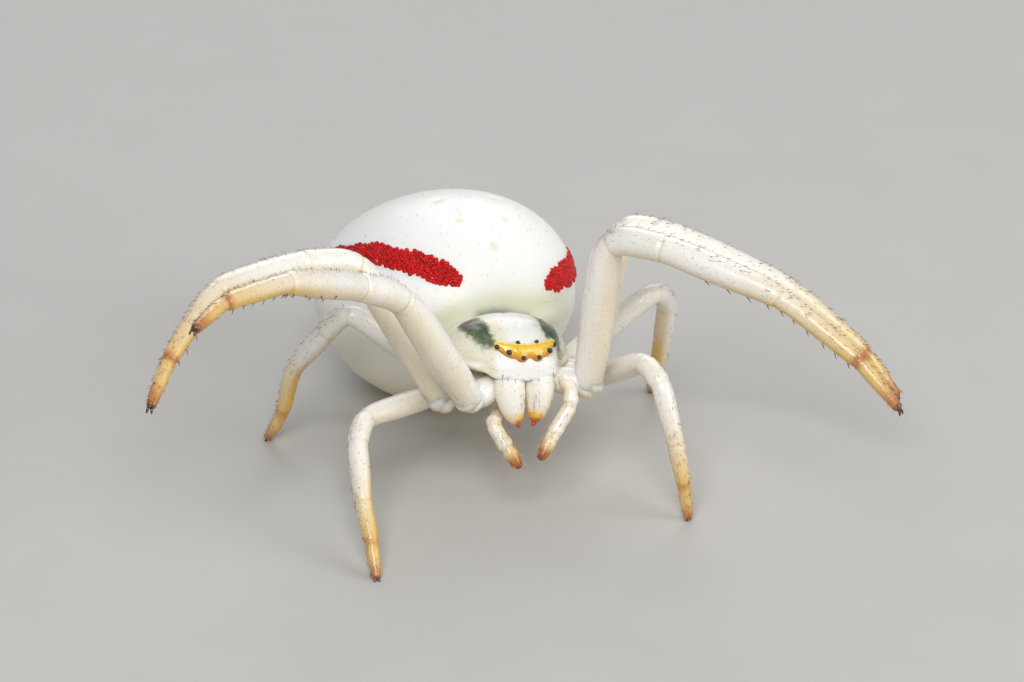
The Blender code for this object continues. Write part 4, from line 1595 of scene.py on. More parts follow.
@dataclass
class Leg:
    """One leg from the hip to the claws, with its coxa and trochanter.

    Its skin has rings at the spacing, closer near the joints. Hairs are counted for each mm of the
    leg, and on the foot for the whole foot.
    """

    pair: int
    side: Side
    sides: int = 20
    spacing: float = 0.15 * MM
    joint_spacing: float = 0.03 * MM
    joint_zone: float = 0.24 * MM
    femur_start: float = 0.10 * MM
    tip_reach: float = 0.10 * MM
    line_steps: int = 40
    short_hairs: int = 16
    upright_hairs: int = 18
    foot_hairs: int = 90

    def __post_init__(self) -> None:
        """Work the joints out of the pose."""
        hip, angles = LEG_POSES[(self.pair, self.side)]
        self.radii = LEG_RADII[self.pair]
        self.directions = [heading(turn, rise, self.side) for turn, rise in angles]
        self.joints = [TRUNK @ (Vector((self.side.value * hip[0], hip[1], hip[2])) * MM)]
        for direction, length in zip(self.directions, LEG_LENGTHS[self.pair]):
            self.joints.append(self.joints[-1] + direction * length * MM)
        self.name = f"leg{self.pair}_{self.side.word}"
        self.front_pair = self.pair in (1, 2)

    def bend_reach(self, joint: int) -> float:
        """How far from a joint its bend begins.

        Args:
            joint: The joint's number, from the hip's 0.

        Returns:
            The distance.
        """
        before, here, after = self.joints[joint - 1:joint + 2]
        share = 0.5 if joint == 1 else 0.32
        return min(HINGE_BEND[self.pair] * MM, share * min((here - before).length, (after - here).length))

    def centre_line(self) -> tuple[Array, Array, Array]:
        """Fine points of the centre line, their segments (whole part) and places in them.

        Returns:
            Points in rows, a place that runs from 0 at the hip to 5 at the tip, and the
            distance along the line of each of the four inner joints.
        """
        points: list[Vector] = []
        places: list[float] = []
        marks: list[int] = []
        fine = self.line_steps
        for segment in range(len(SEGMENTS)):
            start, end = self.joints[segment], self.joints[segment + 1]
            length = (end - start).length
            low = self.bend_reach(segment) / length if segment else -self.femur_start / length
            high = 1.0 - (self.bend_reach(segment + 1) / length if segment < 4 else 0.0)
            for part in np.linspace(low, high, fine, endpoint=False):
                points.append(start.lerp(end, part))
                places.append(segment + float(np.clip(part, 0.0, 1.0)))
            if segment < 4:
                reach = self.bend_reach(segment + 1)
                before = end - self.directions[segment] * reach
                after = end + self.directions[segment + 1] * reach
                next_length = (self.joints[segment + 2] - end).length
                for index, step in enumerate(np.linspace(0.0, 1.0, fine, endpoint=False)):
                    if index == fine // 2:
                        marks.append(len(points))
                    points.append(before * (1 - step) ** 2 + end * 2 * step * (1 - step) + after * step ** 2)
                    first, last = high, 1.0 + reach / next_length
                    places.append(segment + first + (last - first) * step)
        points.append(self.joints[5])
        places.append(5.0)
        table = np.array(points)
        return table, np.array(places), run_along(table)[np.array(marks)]

    def base_width(self, places: Array) -> Array:
        """Half width of the limb at places from 0 to 5, before the joints are cut in.

        Args:
            places: Places along the leg.

        Returns:
            The half widths.
        """
        width = np.zeros(len(places))
        for index, name in enumerate(SEGMENTS):
            part = places - index
            own = smooth_read(SEGMENT_SHAPES[name], np.clip(part, 0.0, 1.0), 1) * self.radii[name] * MM
            width = np.where((part >= 0) & (part <= 1.0), own, width)
        kernel = np.hanning(15)
        kernel /= kernel.sum()
        padded = np.concatenate([np.full(7, width[0]), width, np.full(7, width[-1])])
        return np.convolve(padded, kernel, mode="valid")

    def limb(self) -> Limb:
        """The centre line at the spacing of the skin, with collars and grooves at the joints.

        Returns:
            The leg's line.
        """
        table, places, joints = self.centre_line()
        passed = run_along(table)
        width = self.base_width(places)
        runs = [0.0]
        while runs[-1] < passed[-1]:
            near = min(np.abs(joints - runs[-1]).min(), passed[-1] - runs[-1]) < self.joint_zone
            runs.append(runs[-1] + (self.joint_spacing if near else self.spacing))
        run = np.array(runs[:-1] + [passed[-1]])
        points = read_line(run, passed, table)
        radii = np.interp(run, passed, width)
        for joint in joints:
            gap = run - joint
            radii = radii * (
                1.0
                - 0.070 * hump(gap, 0.034 * MM)
                + 0.030 * hump(gap + 0.12 * MM, 0.085 * MM)
                + 0.015 * hump(gap - 0.11 * MM, 0.070 * MM)
            )
        radii = radii * round_end(passed[-1] - run, self.tip_reach, 0.02)
        self.joint_runs = joints
        self.places = np.interp(run, passed, places)
        hinge = self.directions[0].cross(self.directions[2])
        tangents = unit(np.gradient(points, axis=0))
        return Limb(points, radii, np.cross(tangents, np.array(hinge.normalized())))

    def hip_shapes(self) -> list[bpy.types.Object]:
        """Coxa and trochanter, as two swollen rings between the body and the femur.

        Returns:
            The two meshes.
        """
        root_side, root_back = COXA_ROOTS[self.pair]
        root = TRUNK @ (Vector((self.side.value * root_side, root_back, COXA_ROOT_LEVEL)) * MM)
        hip = self.joints[0]
        coxa = self.radii["coxa"] * MM
        steps = np.linspace(0.0, COXA_SHAPE[-1][0], 16)
        width = smooth_read(COXA_SHAPE, steps, 1) * coxa
        shapes = [grow_tube(self.name + "_coxa", straight_line(root, hip, steps), width, self.sides)]
        bisector = ((hip - root).normalized() + self.directions[0]).normalized()
        steps = np.linspace(-1.0, 1.0, 15)
        line = np.array(hip)[None, :] + (steps * coxa * 0.94)[:, None] * np.array(bisector)[None, :]
        width = smooth_read(TROCHANTER_SHAPE, steps, 1) * coxa
        shapes.append(grow_tube(self.name + "_trochanter", line, width, self.sides))
        return shapes

    def build(self, material: bpy.types.Material, coats: "Coats") -> bpy.types.Object:
        """Model the skin of the whole leg, paint its marks and comb its coat.

        Args:
            material: The cuticle's finish.
            coats: The coats that take its bristles.

        Returns:
            The skin.
        """
        limb = self.limb()
        skin = grow_tube(self.name + "_skin", limb.points, limb.radii, self.sides)
        subdivide(skin, 1)
        self.mark(skin, limb, hip=False)
        hips = self.hip_shapes()
        for shape in hips:
            subdivide(shape, 1)
            self.mark(shape, limb, hip=True)
        whole = join(self.name + "_skin", [skin, *hips])
        shade_smooth(whole)
        press_on_floor(whole)
        self.comb(limb, coats)
        nodes = [f"{self.name}_{part}" for part in ("femur", "tibia", "tarsus")]
        return dress(whole, material, nodes)

    def mark(self, item: bpy.types.Object, limb: Limb, hip: bool) -> None:
        """Paint the leg's colours: pearl on the back as a painted highlight, straw towards the tip, straw
        below as partly its own yellow and partly painted reflection and shade, dark tip.

        Args:
            item: The skin, or one of the hip's two parts.
            limb: The leg's line.
            hip: Whether the item is a part of the hip.
        """
        points = read_points(item)
        run, back = limb.locate(points)
        place = np.interp(run, limb.passed, self.places)
        near = np.min(np.abs(run[:, None] - self.joint_runs[None, :]), axis=1)
        joint = hump(near, 0.045 * MM)
        if hip:
            # On the hip, upward faces take the painted highlight and downward faces the painted reflection
            # and shade.
            back = read_normals(item)[:, 2] * 1.2
            place = np.zeros(len(points))
            joint = np.zeros(len(points))
        distal = ease(place, 2.3, 4.4) if self.front_pair else ease(place, 2.2, 4.0)
        below = ease(-back, -0.1, 0.9)
        # Straw is the leg's own colour towards the tip; below, it is partly its own colour and partly painted
        # reflection and shade.
        straw = 0.03 + 0.78 * distal + 0.60 * below * ease(place, 2.0, 3.0) + 0.10 * below
        straw = straw + 0.35 * hump(near, 0.09 * MM) * below + (0.30 * below if hip else 0.0)
        wrist = hump(run - self.joint_runs[3], 0.13 * MM) * (0.9 if self.front_pair else 0.5)
        knee = 0.0
        if self.pair == 1 and self.side is Side.LEFT:
            knee = 0.45 * hump(run - self.joint_runs[0] + 0.05 * MM, 0.32 * MM) * ease(back, 0.55, 1.0)
        # pearl is a painted highlight on the back side; straw below is partly painted reflection and shade.
        mark_limb(
            item,
            straw=straw,
            pearl=0.95 * ease(back, -0.8, 0.3) * (1.0 - 0.8 * distal),
            rust=(0.85 * ease(place, 4.35, 4.95) + wrist + knee) * (not hip),
            tip=0.85 * ease(place, 4.86, 5.0) * (not hip),
            joint=joint,
            pores=1.0 - 0.5 * below - joint,
        )

    def comb(self, limb: Limb, coats: "Coats") -> None:
        """Set the leg's bristles and spines.

        Args:
            limb: The leg's line.
            coats: The coats that take them.
        """
        random = np.random.default_rng(SEED + 10 * self.pair + (self.side is Side.LEFT))
        scale = 1.0 if self.front_pair else 0.75
        total = limb.length
        knee, wrist = self.joint_runs[0], self.joint_runs[3]
        count = int(self.short_hairs * total / MM)
        run = random.uniform(0.02, 0.985, count) * total
        angle = random.uniform(0.0, 2 * math.pi, count)
        keep = random.uniform(0.0, 1.0, count) < 0.35 + 0.65 * ease(run, knee, total)
        short = (0.035 * MM * scale, 0.070 * MM * scale)
        limb.comb(coats.dark, random, run[keep], angle[keep], short, 0.0048 * MM, (12, 40))
        count = int(self.upright_hairs * (total - knee) / MM)
        run = knee + random.uniform(0.0, 0.985, count) * (total - knee)
        angle = np.radians(random.normal(90.0, 34.0, count))
        upright = (0.07 * MM * scale, 0.15 * MM * scale)
        limb.comb(coats.dark, random, run, angle, upright, 0.0055 * MM, (28, 58))
        count = int(self.foot_hairs * scale)
        run = wrist + random.uniform(0.1, 0.97, count) * (total - wrist)
        angle = random.uniform(0.0, 2 * math.pi, count)
        limb.comb(coats.pale, random, run, angle, (0.07 * MM, 0.14 * MM), 0.0050 * MM, (20, 50))
        if self.front_pair:
            self.comb_spines(limb, coats, random)

    def comb_spines(self, limb: Limb, coats: "Coats", random: np.random.Generator) -> None:
        """Set the paired spines under tibia and metatarsus that a front leg grips with.

        Args:
            limb: The leg's line.
            coats: The coats that take them.
            random: Source of variety.
        """
        margin = 0.15 * MM
        for joint, bare_share, pairs in ((1, 0.35, 4), (2, 0.0, 6)):
            start, end = self.joint_runs[joint], self.joint_runs[joint + 1]
            first = start + bare_share * (end - start) + margin
            run = np.repeat(np.linspace(first, end - margin, pairs), 2)
            run = run + random.normal(0.0, 0.03 * MM, len(run))
            angle = np.radians(np.tile([-62.0, -118.0], pairs) + random.normal(0.0, 4.0, len(run)))
            length = (0.15 * MM, 0.22 * MM)
            limb.comb(coats.spine, random, run, angle, length, 0.014 * MM, (28, 42), bend=0.12)

    def build_claws(self, material: bpy.types.Material) -> bpy.types.Object:
        """Model the pair of curved claws at the tip.

        Args:
            material: The claws' finish.

        Returns:
            The joined pair.
        """
        tip, forward = self.joints[5], self.directions[4]
        across = forward.cross(Vector((0, 0, 1))).normalized()
        down = across.cross(forward).normalized()
        if down.z > 0:
            down = -down
        claws = []
        for sign in (-1, 1):
            root = tip - forward * 0.10 * MM + across * sign * 0.045 * MM
            hook = [
                root + (forward * ahead + down * drop + across * sign * aside) * MM
                for ahead, drop, aside in CLAW_HOOK
            ]
            line = smooth_line(np.array(hook), 14)
            width = np.interp(np.linspace(0, 1, 14), (0.0, 0.5, 0.85, 1.0), (0.040, 0.030, 0.016, 0.004)) * MM
            claws.append(grow_tube(f"{self.name}_claw", line, width, 10))
        pair = join(self.name + "_claws", claws)
        press_on_floor(pair)
        shade_smooth(pair)
        return dress(pair, material)


def smooth_line(corners: Array, count: int) -> Array:
    """Points of a smooth curve through corners.

    Args:
        corners: The points to pass through, in rows.
        count: How many points to return.

    Returns:
        The curve's points in rows.
    """
    rows = evenly(corners)
    places = np.linspace(0.0, 1.0, count)
    return np.stack([smooth_read(rows, places, column) for column in (1, 2, 3)], axis=-1)


@dataclass
class Coats:
    """The coats that the whole body shares."""

    dark: Coat = field(default_factory=lambda: Coat("dark_setae"))
    pale: Coat = field(default_factory=lambda: Coat("pale_setae"))
    spine: Coat = field(default_factory=lambda: Coat("leg_spines", sides=6, rings=4))

    def build(self) -> None:
        """Join and dress each coat."""
        dark = HairFinish("dark_seta", (0.035, 0.022, 0.016), (0.12, 0.07, 0.04)).build()
        pale = HairFinish("pale_seta", (0.48, 0.32, 0.16), (0.72, 0.60, 0.42)).build()
        spine = HairFinish("spine_horn", (0.30, 0.14, 0.04), (0.05, 0.025, 0.015), 0.25).build()
        self.dark.build(dark, Slot.LEG)
        self.pale.build(pale, Slot.LEG_TIP)
        self.spine.build(spine, Slot.LEG_TIP)


# Body


@dataclass
class Abdomen:
    """The round satin abdomen with its folds, dimples, red stripes and spinnerets.

    A stripe is rows of a place along the form, an angle in degrees from its left over its top, and
    a half width in mm. Dimples and the fold are in mm in the abdomen's frame.
    """

    cuts: int = 63
    hairs: int = 420
    stripe_right: Stations = (
        (0.20, 163.0, 0.16), (0.10, 162.0, 0.22), (-0.02, 159.5, 0.26), (-0.13, 156.5, 0.27),
        (-0.25, 152.0, 0.27), (-0.37, 148.5, 0.27), (-0.494, 146.5, 0.28), (-0.568, 144.0, 0.31),
        (-0.645, 141.5, 0.31), (-0.725, 139.5, 0.31), (-0.793, 137.0, 0.26), (-0.850, 133.5, 0.17),
        (-0.872, 132.0, 0.10),
    )
    stripe_left: Stations = (
        (0.20, 163.0, 0.16), (0.10, 162.0, 0.22), (-0.02, 160.0, 0.26), (-0.20, 158.0, 0.27),
        (-0.40, 155.5, 0.28), (-0.537, 153.3, 0.28), (-0.65, 150.3, 0.29), (-0.737, 147.7, 0.26),
        (-0.809, 144.5, 0.20), (-0.842, 140.0, 0.10),
    )
    dimples: Stations = (
        (0.0, -2.35), (-0.61, -1.46), (0.61, -1.46), (-0.72, -0.30), (0.72, -0.30), (-0.62, 0.9), (0.62, 0.9)
    )
    # The fold is the line that the painted shadow and painted contact shade follow.
    fold: Stations = (
        (-0.42, -3.20, 0.22), (-0.12, -3.24, 0.24), (0.16, -3.25, 0.18), (0.44, -3.23, 0.06),
        (0.70, -3.16, -0.04),
    )
    bead_gap: float = 0.080 * MM
    bead_width: tuple[float, float] = (0.048, 0.068)
    bead_height: tuple[float, float] = (0.034, 0.056)
    bead_lift: float = 0.006 * MM
    bead_patch: float = 0.0015

    def stripe_line(self, side: Side) -> tuple[Array, Array]:
        """Middle line of a stripe on the skin in the abdomen's frame, and its half widths.

        Args:
            side: The stripe's side.

        Returns:
            The line's points in rows, and a half width for each.
        """
        table = evenly(self.stripe_right if side is Side.RIGHT else self.stripe_left)
        fine = np.linspace(0.0, 1.0, 60)
        along, angle, half = (smooth_read(table, fine, column) for column in (1, 2, 3))
        angle = angle if side is Side.RIGHT else 180.0 - angle
        around = np.radians(angle - STANCE.abdomen_roll)
        return ABDOMEN_FORM.surface(along, around), half * MM

    def stripe_depth(self, points: Array) -> Array:
        """How deep points lie in the stripes, in mm, below zero outside them.

        Args:
            points: The points in rows.

        Returns:
            The depths.
        """
        best = np.full(len(points), -9.0)
        for side in Side:
            line, half = self.stripe_line(side)
            distance, where = path_distance(points, line)
            depth = (np.interp(where, np.linspace(0, 1, len(half)), half) - distance) / MM
            best = np.maximum(best, depth)
        return best

    def build(self, finish: bpy.types.Material) -> bpy.types.Object:
        """Model and paint the skin.

        Args:
            finish: The skin's finish.

        Returns:
            The dressed piece.
        """
        skin = model_form("abdomen_skin", ABDOMEN_FORM, Matrix.Identity(4), 2.6 * MM, self.cuts)
        subdivide(skin, 1)
        points = read_points(skin)
        normals = read_normals(skin)
        along = ABDOMEN_FORM.along(points[:, 1])
        roll = math.radians(STANCE.abdomen_roll)
        rolled = points @ np.array(Matrix.Rotation(-roll, 3, "Y")).T
        height = points[:, 2] / MM
        relief = np.zeros(len(points))
        dimple = np.zeros(len(points))
        for x, y in self.dimples:
            gap = np.hypot(rolled[:, 0] / MM - x, (points[:, 1] / MM - y) * 1.1)
            mark = hump(gap, 0.11) * (rolled[:, 2] > 0)
            relief -= 0.035 * hump(gap, 0.14) * (rolled[:, 2] > 0)
            dimple = np.maximum(dimple, mark)
        front = ease(-along, 0.55, 0.95)
        wave = 7.5 * height + 2.2 * np.abs(points[:, 0] / MM) + 0.5 * np.sin(2.3 * points[:, 0] / MM)
        folds = front * ease(-height, -0.9, 0.1) * np.sin(wave)
        relief += 0.022 * folds
        sides = ease(np.abs(points[:, 0]) / MM, 1.6, 2.8) * ease(-height, -0.5, 0.6)
        relief += 0.012 * sides * np.sin(6.0 * height + 0.9 * points[:, 1] / MM)
        stripe = self.stripe_depth(points)
        relief += 0.020 * ease(stripe, 0.0, 0.12)
        moved = points + normals * (relief * MM)[:, None]
        write_points(skin, self.clear_of_carapace(turned(moved, ABDOMEN)))
        paint(skin, "stripe", stripe)
        paint(skin, "dimple", dimple)
        # Painted shade on the lower front and lower sides, deeper in the hollows of the folds.
        shade = 1.0 * front * ease(-height, -1.3, 0.3) + 0.45 * sides - 0.30 * folds * front
        paint(skin, "shade", np.clip(shade, 0.0, 1.0))
        paint(skin, "belly", ease(-height, 0.9, 2.2))
        # Along the fold over the carapace: a narrow painted shadow and a wider painted contact shade.
        fold, _ = path_distance(points / MM, np.array(self.fold))
        paint(skin, "crease", 0.85 * hump(fold, 0.15) * ease(points[:, 1] / MM, -2.6, -3.0))
        paint(skin, "contact_shade", 0.6 * hump(fold, 0.50) * (along < 0))
        shade_smooth(skin)
        return dress(skin, finish, ["abdomen"])

    @staticmethod
    def clear_of_carapace(points: Array) -> Array:
        """Press the skin in where it overhangs the carapace, and flat where it meets the floor.

        Args:
            points: The skin's points in rows.

        Returns:
            The moved points.
        """
        into = CARAPACE.inverted()
        grown = replace(CARAPACE_FORM, grow=0.06 * MM)
        inwards = unit(np.array(ABDOMEN.translation) - points)
        moved = points.copy()
        for _ in range(40):
            inside = grown.fullness(turned(moved, into)) < 1.0
            if not inside.any():
                break
            moved[inside] += inwards[inside] * 0.025 * MM
        moved[:, 2] = np.maximum(moved[:, 2], 0.0)
        return moved

    def build_stripe(self, side: Side, finish: bpy.types.Material) -> bpy.types.Object:
        """Set the glossy red granules of one stripe close together on the skin.

        Args:
            side: The stripe's side.
            finish: The granules' finish.

        Returns:
            The joined piece.
        """
        random = np.random.default_rng(SEED + 50 + side.value)
        line, half = self.stripe_line(side)
        passed = run_along(line)
        centres: list[Array] = []
        rows = int(passed[-1] / (self.bead_gap * 0.87))
        for row in range(rows):
            run = (row + 0.5) / rows * passed[-1]
            middle, next_middle = read_line(np.array([run, run + 0.05 * MM]), passed, line)
            ahead = unit(next_middle - middle)
            wide = float(np.interp(run, passed, half))
            out = unit(middle - np.array((0.0, middle[1] * 0.6, 0.0)))
            across = unit(np.cross(ahead, out))
            shift = (row % 2) * 0.5
            count = int(2 * wide / self.bead_gap) + 1
            for index in range(count):
                offset = (index + shift - (count - 0.5) / 2) * self.bead_gap
                wobble = random.normal(0.0, 0.16, 2) * self.bead_gap
                edge = 1.0 + 0.13 * math.sin(run / MM * 9.0 + side.value) + random.normal(0.0, 0.12)
                if abs(offset) < wide * edge:
                    centres.append(middle + across * (offset + wobble[0]) + ahead * wobble[1])
        beads = np.array(centres)
        along = ABDOMEN_FORM.along(beads[:, 1])
        width, height, depth = ABDOMEN_FORM.reach(along)
        lift = np.where(beads[:, 2] > 0, height, depth)
        around = np.arctan2(beads[:, 2] / lift, beads[:, 0] / width)
        seats = ABDOMEN_FORM.surface(along, around)
        return self.join_beads(side, seats, ABDOMEN_FORM.normal(along, around), random, finish)

    def join_beads(
        self, side: Side, seats: Array, outs: Array, random: np.random.Generator, finish: bpy.types.Material
    ) -> bpy.types.Object:
        """Copy one modelled granule to every seat and join the copies.

        Args:
            side: The stripe's side.
            seats: Points on the skin in rows.
            outs: Directions away from the skin.
            random: Source of variety.
            finish: The granules' finish.

        Returns:
            The joined piece.
        """
        deselect_all()
        bpy.ops.mesh.primitive_ico_sphere_add(subdivisions=2, radius=1.0)
        pattern = bpy.context.view_layer.objects.active
        shape = read_points(pattern)
        shape[:, 2] = np.where(shape[:, 2] < 0, shape[:, 2] * 0.8, shape[:, 2])
        faces = np.array([tuple(face.vertices) for face in pattern.data.polygons])
        bpy.data.objects.remove(pattern, do_unlink=True)
        first = unit(np.cross(outs, np.array((0.13, 0.91, 0.37))))
        second = np.cross(outs, first)
        count = len(seats)
        size = random.uniform(*self.bead_width, count) * MM
        tall = random.uniform(*self.bead_height, count) * MM
        body = (
            seats[:, None, :]
            + first[:, None, :] * (shape[:, 0][None, :] * size[:, None])[:, :, None]
            + second[:, None, :] * (shape[:, 1][None, :] * size[:, None])[:, :, None]
            + outs[:, None, :] * (shape[:, 2][None, :] * tall[:, None] + self.bead_lift)[:, :, None]
        ).reshape(-1, 3)
        body = turned(body, ABDOMEN)
        all_faces = (faces[None, :, :] + (np.arange(count) * len(shape))[:, None, None]).reshape(-1, 3)
        item = mesh_of("stripe_granules_" + side.word, body, all_faces.tolist())
        shade_smooth(item)
        around = (np.arctan2(seats[:, 2], seats[:, 0]) / (2 * math.pi)) % 1.0
        place = unwrap_place(around, (ABDOMEN_FORM.along(seats[:, 1]) + 1.0) / 2.0)
        turn = 2 * math.pi * np.arange(len(shape)) / len(shape)
        lay_unwrap(item, place, np.stack([np.cos(turn), np.sin(turn)], axis=-1) * self.bead_patch)
        return dress(item, finish)

    def comb(self, coats: Coats) -> None:
        """Scatter short hairs over the skin, leaning back.

        Args:
            coats: The coats that take the bristles.
        """
        random = np.random.default_rng(SEED + 70)
        count = self.hairs
        along = random.uniform(-0.92, 0.94, count)
        around = np.radians(random.uniform(-35.0, 215.0, count))
        seats = ABDOMEN_FORM.surface(along, around)
        outs = ABDOMEN_FORM.normal(along, around)
        back = np.array((0.0, 1.0, 0.0))
        lie = unit(back - (outs @ back)[:, None] * outs)
        tilt = np.radians(random.uniform(20.0, 50.0, count))[:, None]
        lie = unit(np.cos(tilt) * lie + np.sin(tilt) * outs + random.normal(0.0, 0.2, (count, 3)))
        clear = CARAPACE_FORM.fullness(turned(turned(seats, ABDOMEN), CARAPACE.inverted())) > 1.5
        unwrap = unwrap_place((around / (2 * math.pi)) % 1.0, (along + 1) / 2)
        rotation = np.array(ABDOMEN)[:3, :3]
        coats.pale.add(
            turned(seats, ABDOMEN)[clear],
            (lie @ rotation.T)[clear],
            (outs @ rotation.T)[clear],
            random.uniform(0.06, 0.12, count)[clear] * MM,
            np.full(count, 0.0042 * MM)[clear],
            np.full(count, 0.2)[clear],
            unwrap[clear],
        )

    def build_spinnerets(self, finish: bpy.types.Material) -> bpy.types.Object:
        """Model the ring and the four spinning cones under the hind end.

        Args:
            finish: The skin's finish.

        Returns:
            The dressed piece.
        """
        root = ABDOMEN @ (Vector((0.0, 2.86, -1.05)) * MM)
        out = (ABDOMEN.to_3x3() @ Vector((0.0, 0.86, -0.50))).normalized()
        across = Vector((1, 0, 0))
        up = across.cross(out).normalized()
        steps = np.linspace(0.0, 1.0, 12)
        line = np.array(root)[None, :] + (steps * 0.36 * MM)[:, None] * np.array(out)[None, :]
        width = np.interp(steps, (0.0, 0.4, 0.7, 1.0), (0.50, 0.50, 0.44, 0.30)) * MM
        parts = [grow_tube("spinneret_ring", line, width, 24)]
        for sign in (-1, 1):
            for lift, reach in ((0.14, 0.62), (-0.16, 0.70)):
                start = root + out * 0.20 * MM + across * sign * 0.17 * MM + up * lift * MM
                end = root + out * reach * MM + across * sign * 0.13 * MM + up * lift * 0.8 * MM
                width = np.interp(steps, (0.0, 0.55, 0.62, 0.9, 1.0), (0.13, 0.125, 0.10, 0.07, 0.03)) * MM
                parts.append(grow_tube("spinneret_cone", straight_line(start, end, steps), width, 16))
        for part in parts:
            subdivide(part, 1)
        whole = join("spinnerets_skin", parts)
        even = np.ones(len(whole.data.vertices))
        mark_limb(
            whole,
            straw=0.45 * even,
            pearl=0.2 * even,
            rust=0.10 * even,
            tip=0.0 * even,
            joint=0.0 * even,
            pores=0.3 * even,
        )
        shade_smooth(whole)
        return dress(whole, finish, ["spinnerets"])


@dataclass
class Cephalothorax:
    """The carapace with its white middle and green flanks, the sternum, waist and mouth."""

    cuts: int = 63
    hairs: int = 130
    green_right: Stations = (
        (-1.17, 0.20), (-0.96, 0.30), (-0.68, 0.18), (-0.68, -0.30), (-0.70, -0.62), (-0.70, -0.87),
        (-0.69, -0.99), (-0.71, -1.09), (-0.88, -1.02), (-0.99, -0.93), (-1.04, -0.82), (-1.09, -0.64),
        (-1.17, -0.39), (-1.20, -0.12),
    )
    green_left: Stations = (
        (1.12, 0.20), (0.96, 0.30), (0.70, 0.18), (0.62, -0.33), (0.56, -0.67), (0.55, -0.91),
        (0.58, -1.03), (0.77, -0.95), (0.85, -0.97), (0.84, -1.19), (0.92, -1.21), (1.02, -0.95),
        (1.10, -0.72), (1.17, -0.39), (1.18, -0.10),
    )

    def build(self, finish: bpy.types.Material) -> bpy.types.Object:
        """Model the shield, raise its rim and brow, and paint its marks.

        Args:
            finish: The skin's finish.

        Returns:
            The dressed piece.
        """
        skin = model_form("carapace_skin", CARAPACE_FORM, Matrix.Identity(4), 1.25 * MM, self.cuts)
        subdivide(skin, 1)
        points = read_points(skin)
        normals = read_normals(skin)
        x, y, z = (points[:, axis] / MM for axis in range(3))
        relief = np.zeros(len(points))
        rim = hump(z + 0.25, 0.065) * ease(y, -1.12, -0.86) * ease(np.abs(x), 0.3, 0.7)
        relief += 0.060 * rim
        groove = hump(z + 0.12, 0.055) * ease(y, -1.20, -0.9)
        relief -= 0.022 * groove
        for sign in (-1.0, 1.0):
            neck = np.abs(x * sign - (0.62 + 0.30 * (y + 1.2)))
            relief -= 0.018 * hump(neck, 0.12) * ease(y, -1.3, -0.8) * ease(-y, 0.0, 0.6) * (z > -0.1)
        relief -= 0.03 * hump(np.hypot(x, (y - 0.35) * 0.5), 0.10) * (z > 0.3)
        face = ease(-y, 1.05, 1.30)
        lip = ease(-z, 0.22, 0.38) * face
        moved = points + normals * (relief * MM)[:, None]
        moved[:, 2] -= 0.095 * MM * lip
        write_points(skin, turned(moved, CARAPACE))
        middle = ease(0.46 + 0.12 * ease(y, -1.2, 0.0) - np.abs(x - 0.02), -0.04, 0.10) * ease(z, 0.0, 0.3)
        cheek = face * ease(z, -0.44, -0.34) * ease(0.88 - np.abs(x), 0.0, 0.16)
        # The raised rim is painted white as a painted highlight along it.
        white = np.maximum(np.maximum(middle, cheek), 0.9 * rim)
        # The hind part of the top is painted white as a painted sheen at the back of the shield.
        white = np.maximum(white, 0.8 * ease(y, 0.25, 0.6) * ease(z, 0.1, 0.4))
        paint(skin, "white", np.clip(white, 0.0, 1.0))
        flat = np.stack([x, y], axis=-1)
        patches = (polygon_depth(flat, np.array(corners)) for corners in (self.green_right, self.green_left))
        paint(skin, "green", np.where(z > -0.12, np.maximum(*patches), -1.0))
        edge_straw = 0.55 * ease(-z, 0.20, 0.5) * (1.0 - 0.7 * rim) * (1.0 - face)
        lip_straw = 0.7 * face * ease(-z, 0.40, 0.46)
        paint(skin, "straw", np.clip(edge_straw + lip_straw, 0.0, 1.0))
        paint(skin, "pores", np.clip(0.35 + face, 0.0, 1.0))
        shade_smooth(skin)
        return dress(skin, finish, ["cephalothorax"])

    def build_underside(self, finish: bpy.types.Material) -> bpy.types.Object:
        """Model the sternum, the narrow waist and the two lobes of the mouth as one underside.

        Args:
            finish: The skin's finish.

        Returns:
            The dressed piece.
        """
        parts = [model_form("sternum", STERNUM_FORM, TRUNK, 0.7 * MM, 23)]
        start = TRUNK @ (Vector((0.0, 0.80, -0.42)) * MM)
        end = TRUNK @ (Vector((-0.04, 1.50, -0.52)) * MM)
        steps = np.linspace(0.0, 1.0, 14)
        ripple = 0.30 + 0.02 * np.sin(steps * 14.0)
        parts.append(grow_tube("waist", straight_line(start, end, steps), ripple * MM, 20))
        for side in Side:
            centre = CARAPACE @ (Vector((side.value * 0.30, -0.92, -0.84)) * MM)
            lobe = model_ball("mouth_lobe", centre, 0.24 * MM)
            middle = np.array(centre)
            write_points(lobe, middle + (read_points(lobe) - middle) * np.array((0.85, 0.9, 1.15)))
            parts.append(lobe)
        whole = join("underside_skin", parts)
        points = turned(read_points(whole), TRUNK.inverted()) / MM
        count = len(points)
        paint(whole, "white", np.full(count, 0.15))
        paint(whole, "green", np.full(count, -1.0))
        paint(whole, "straw", 0.45 + 0.35 * hump(points[:, 0], 0.3))
        paint(whole, "pores", np.full(count, 0.2))
        shade_smooth(whole)
        return dress(whole, finish, ["cephalothorax"])

    @staticmethod
    def set_bristles(
        coat: Coat, seats: Array, outs: Array, lie: Array, length: Array, width: float, bend: float
    ) -> None:
        """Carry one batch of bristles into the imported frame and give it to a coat.

        Args:
            coat: The coat that takes them.
            seats: Their roots in rows, in the carapace's frame.
            outs: Directions away from the skin.
            lie: Directions that they lean in.
            length: How long each is.
            width: Half width at the root.
            bend: How far they curl.
        """
        rotation = np.array(CARAPACE)[:3, :3]
        around = np.arctan2(seats[:, 2] - CARAPACE_FORM.level, seats[:, 0]) / (2 * math.pi) % 1.0
        unwrap = unwrap_place(around, (CARAPACE_FORM.along(seats[:, 1]) + 1) / 2)
        count = len(seats)
        coat.add(
            turned(seats, CARAPACE),
            unit(lie) @ rotation.T,
            outs @ rotation.T,
            length,
            np.full(count, width),
            np.full(count, bend),
            unwrap,
        )

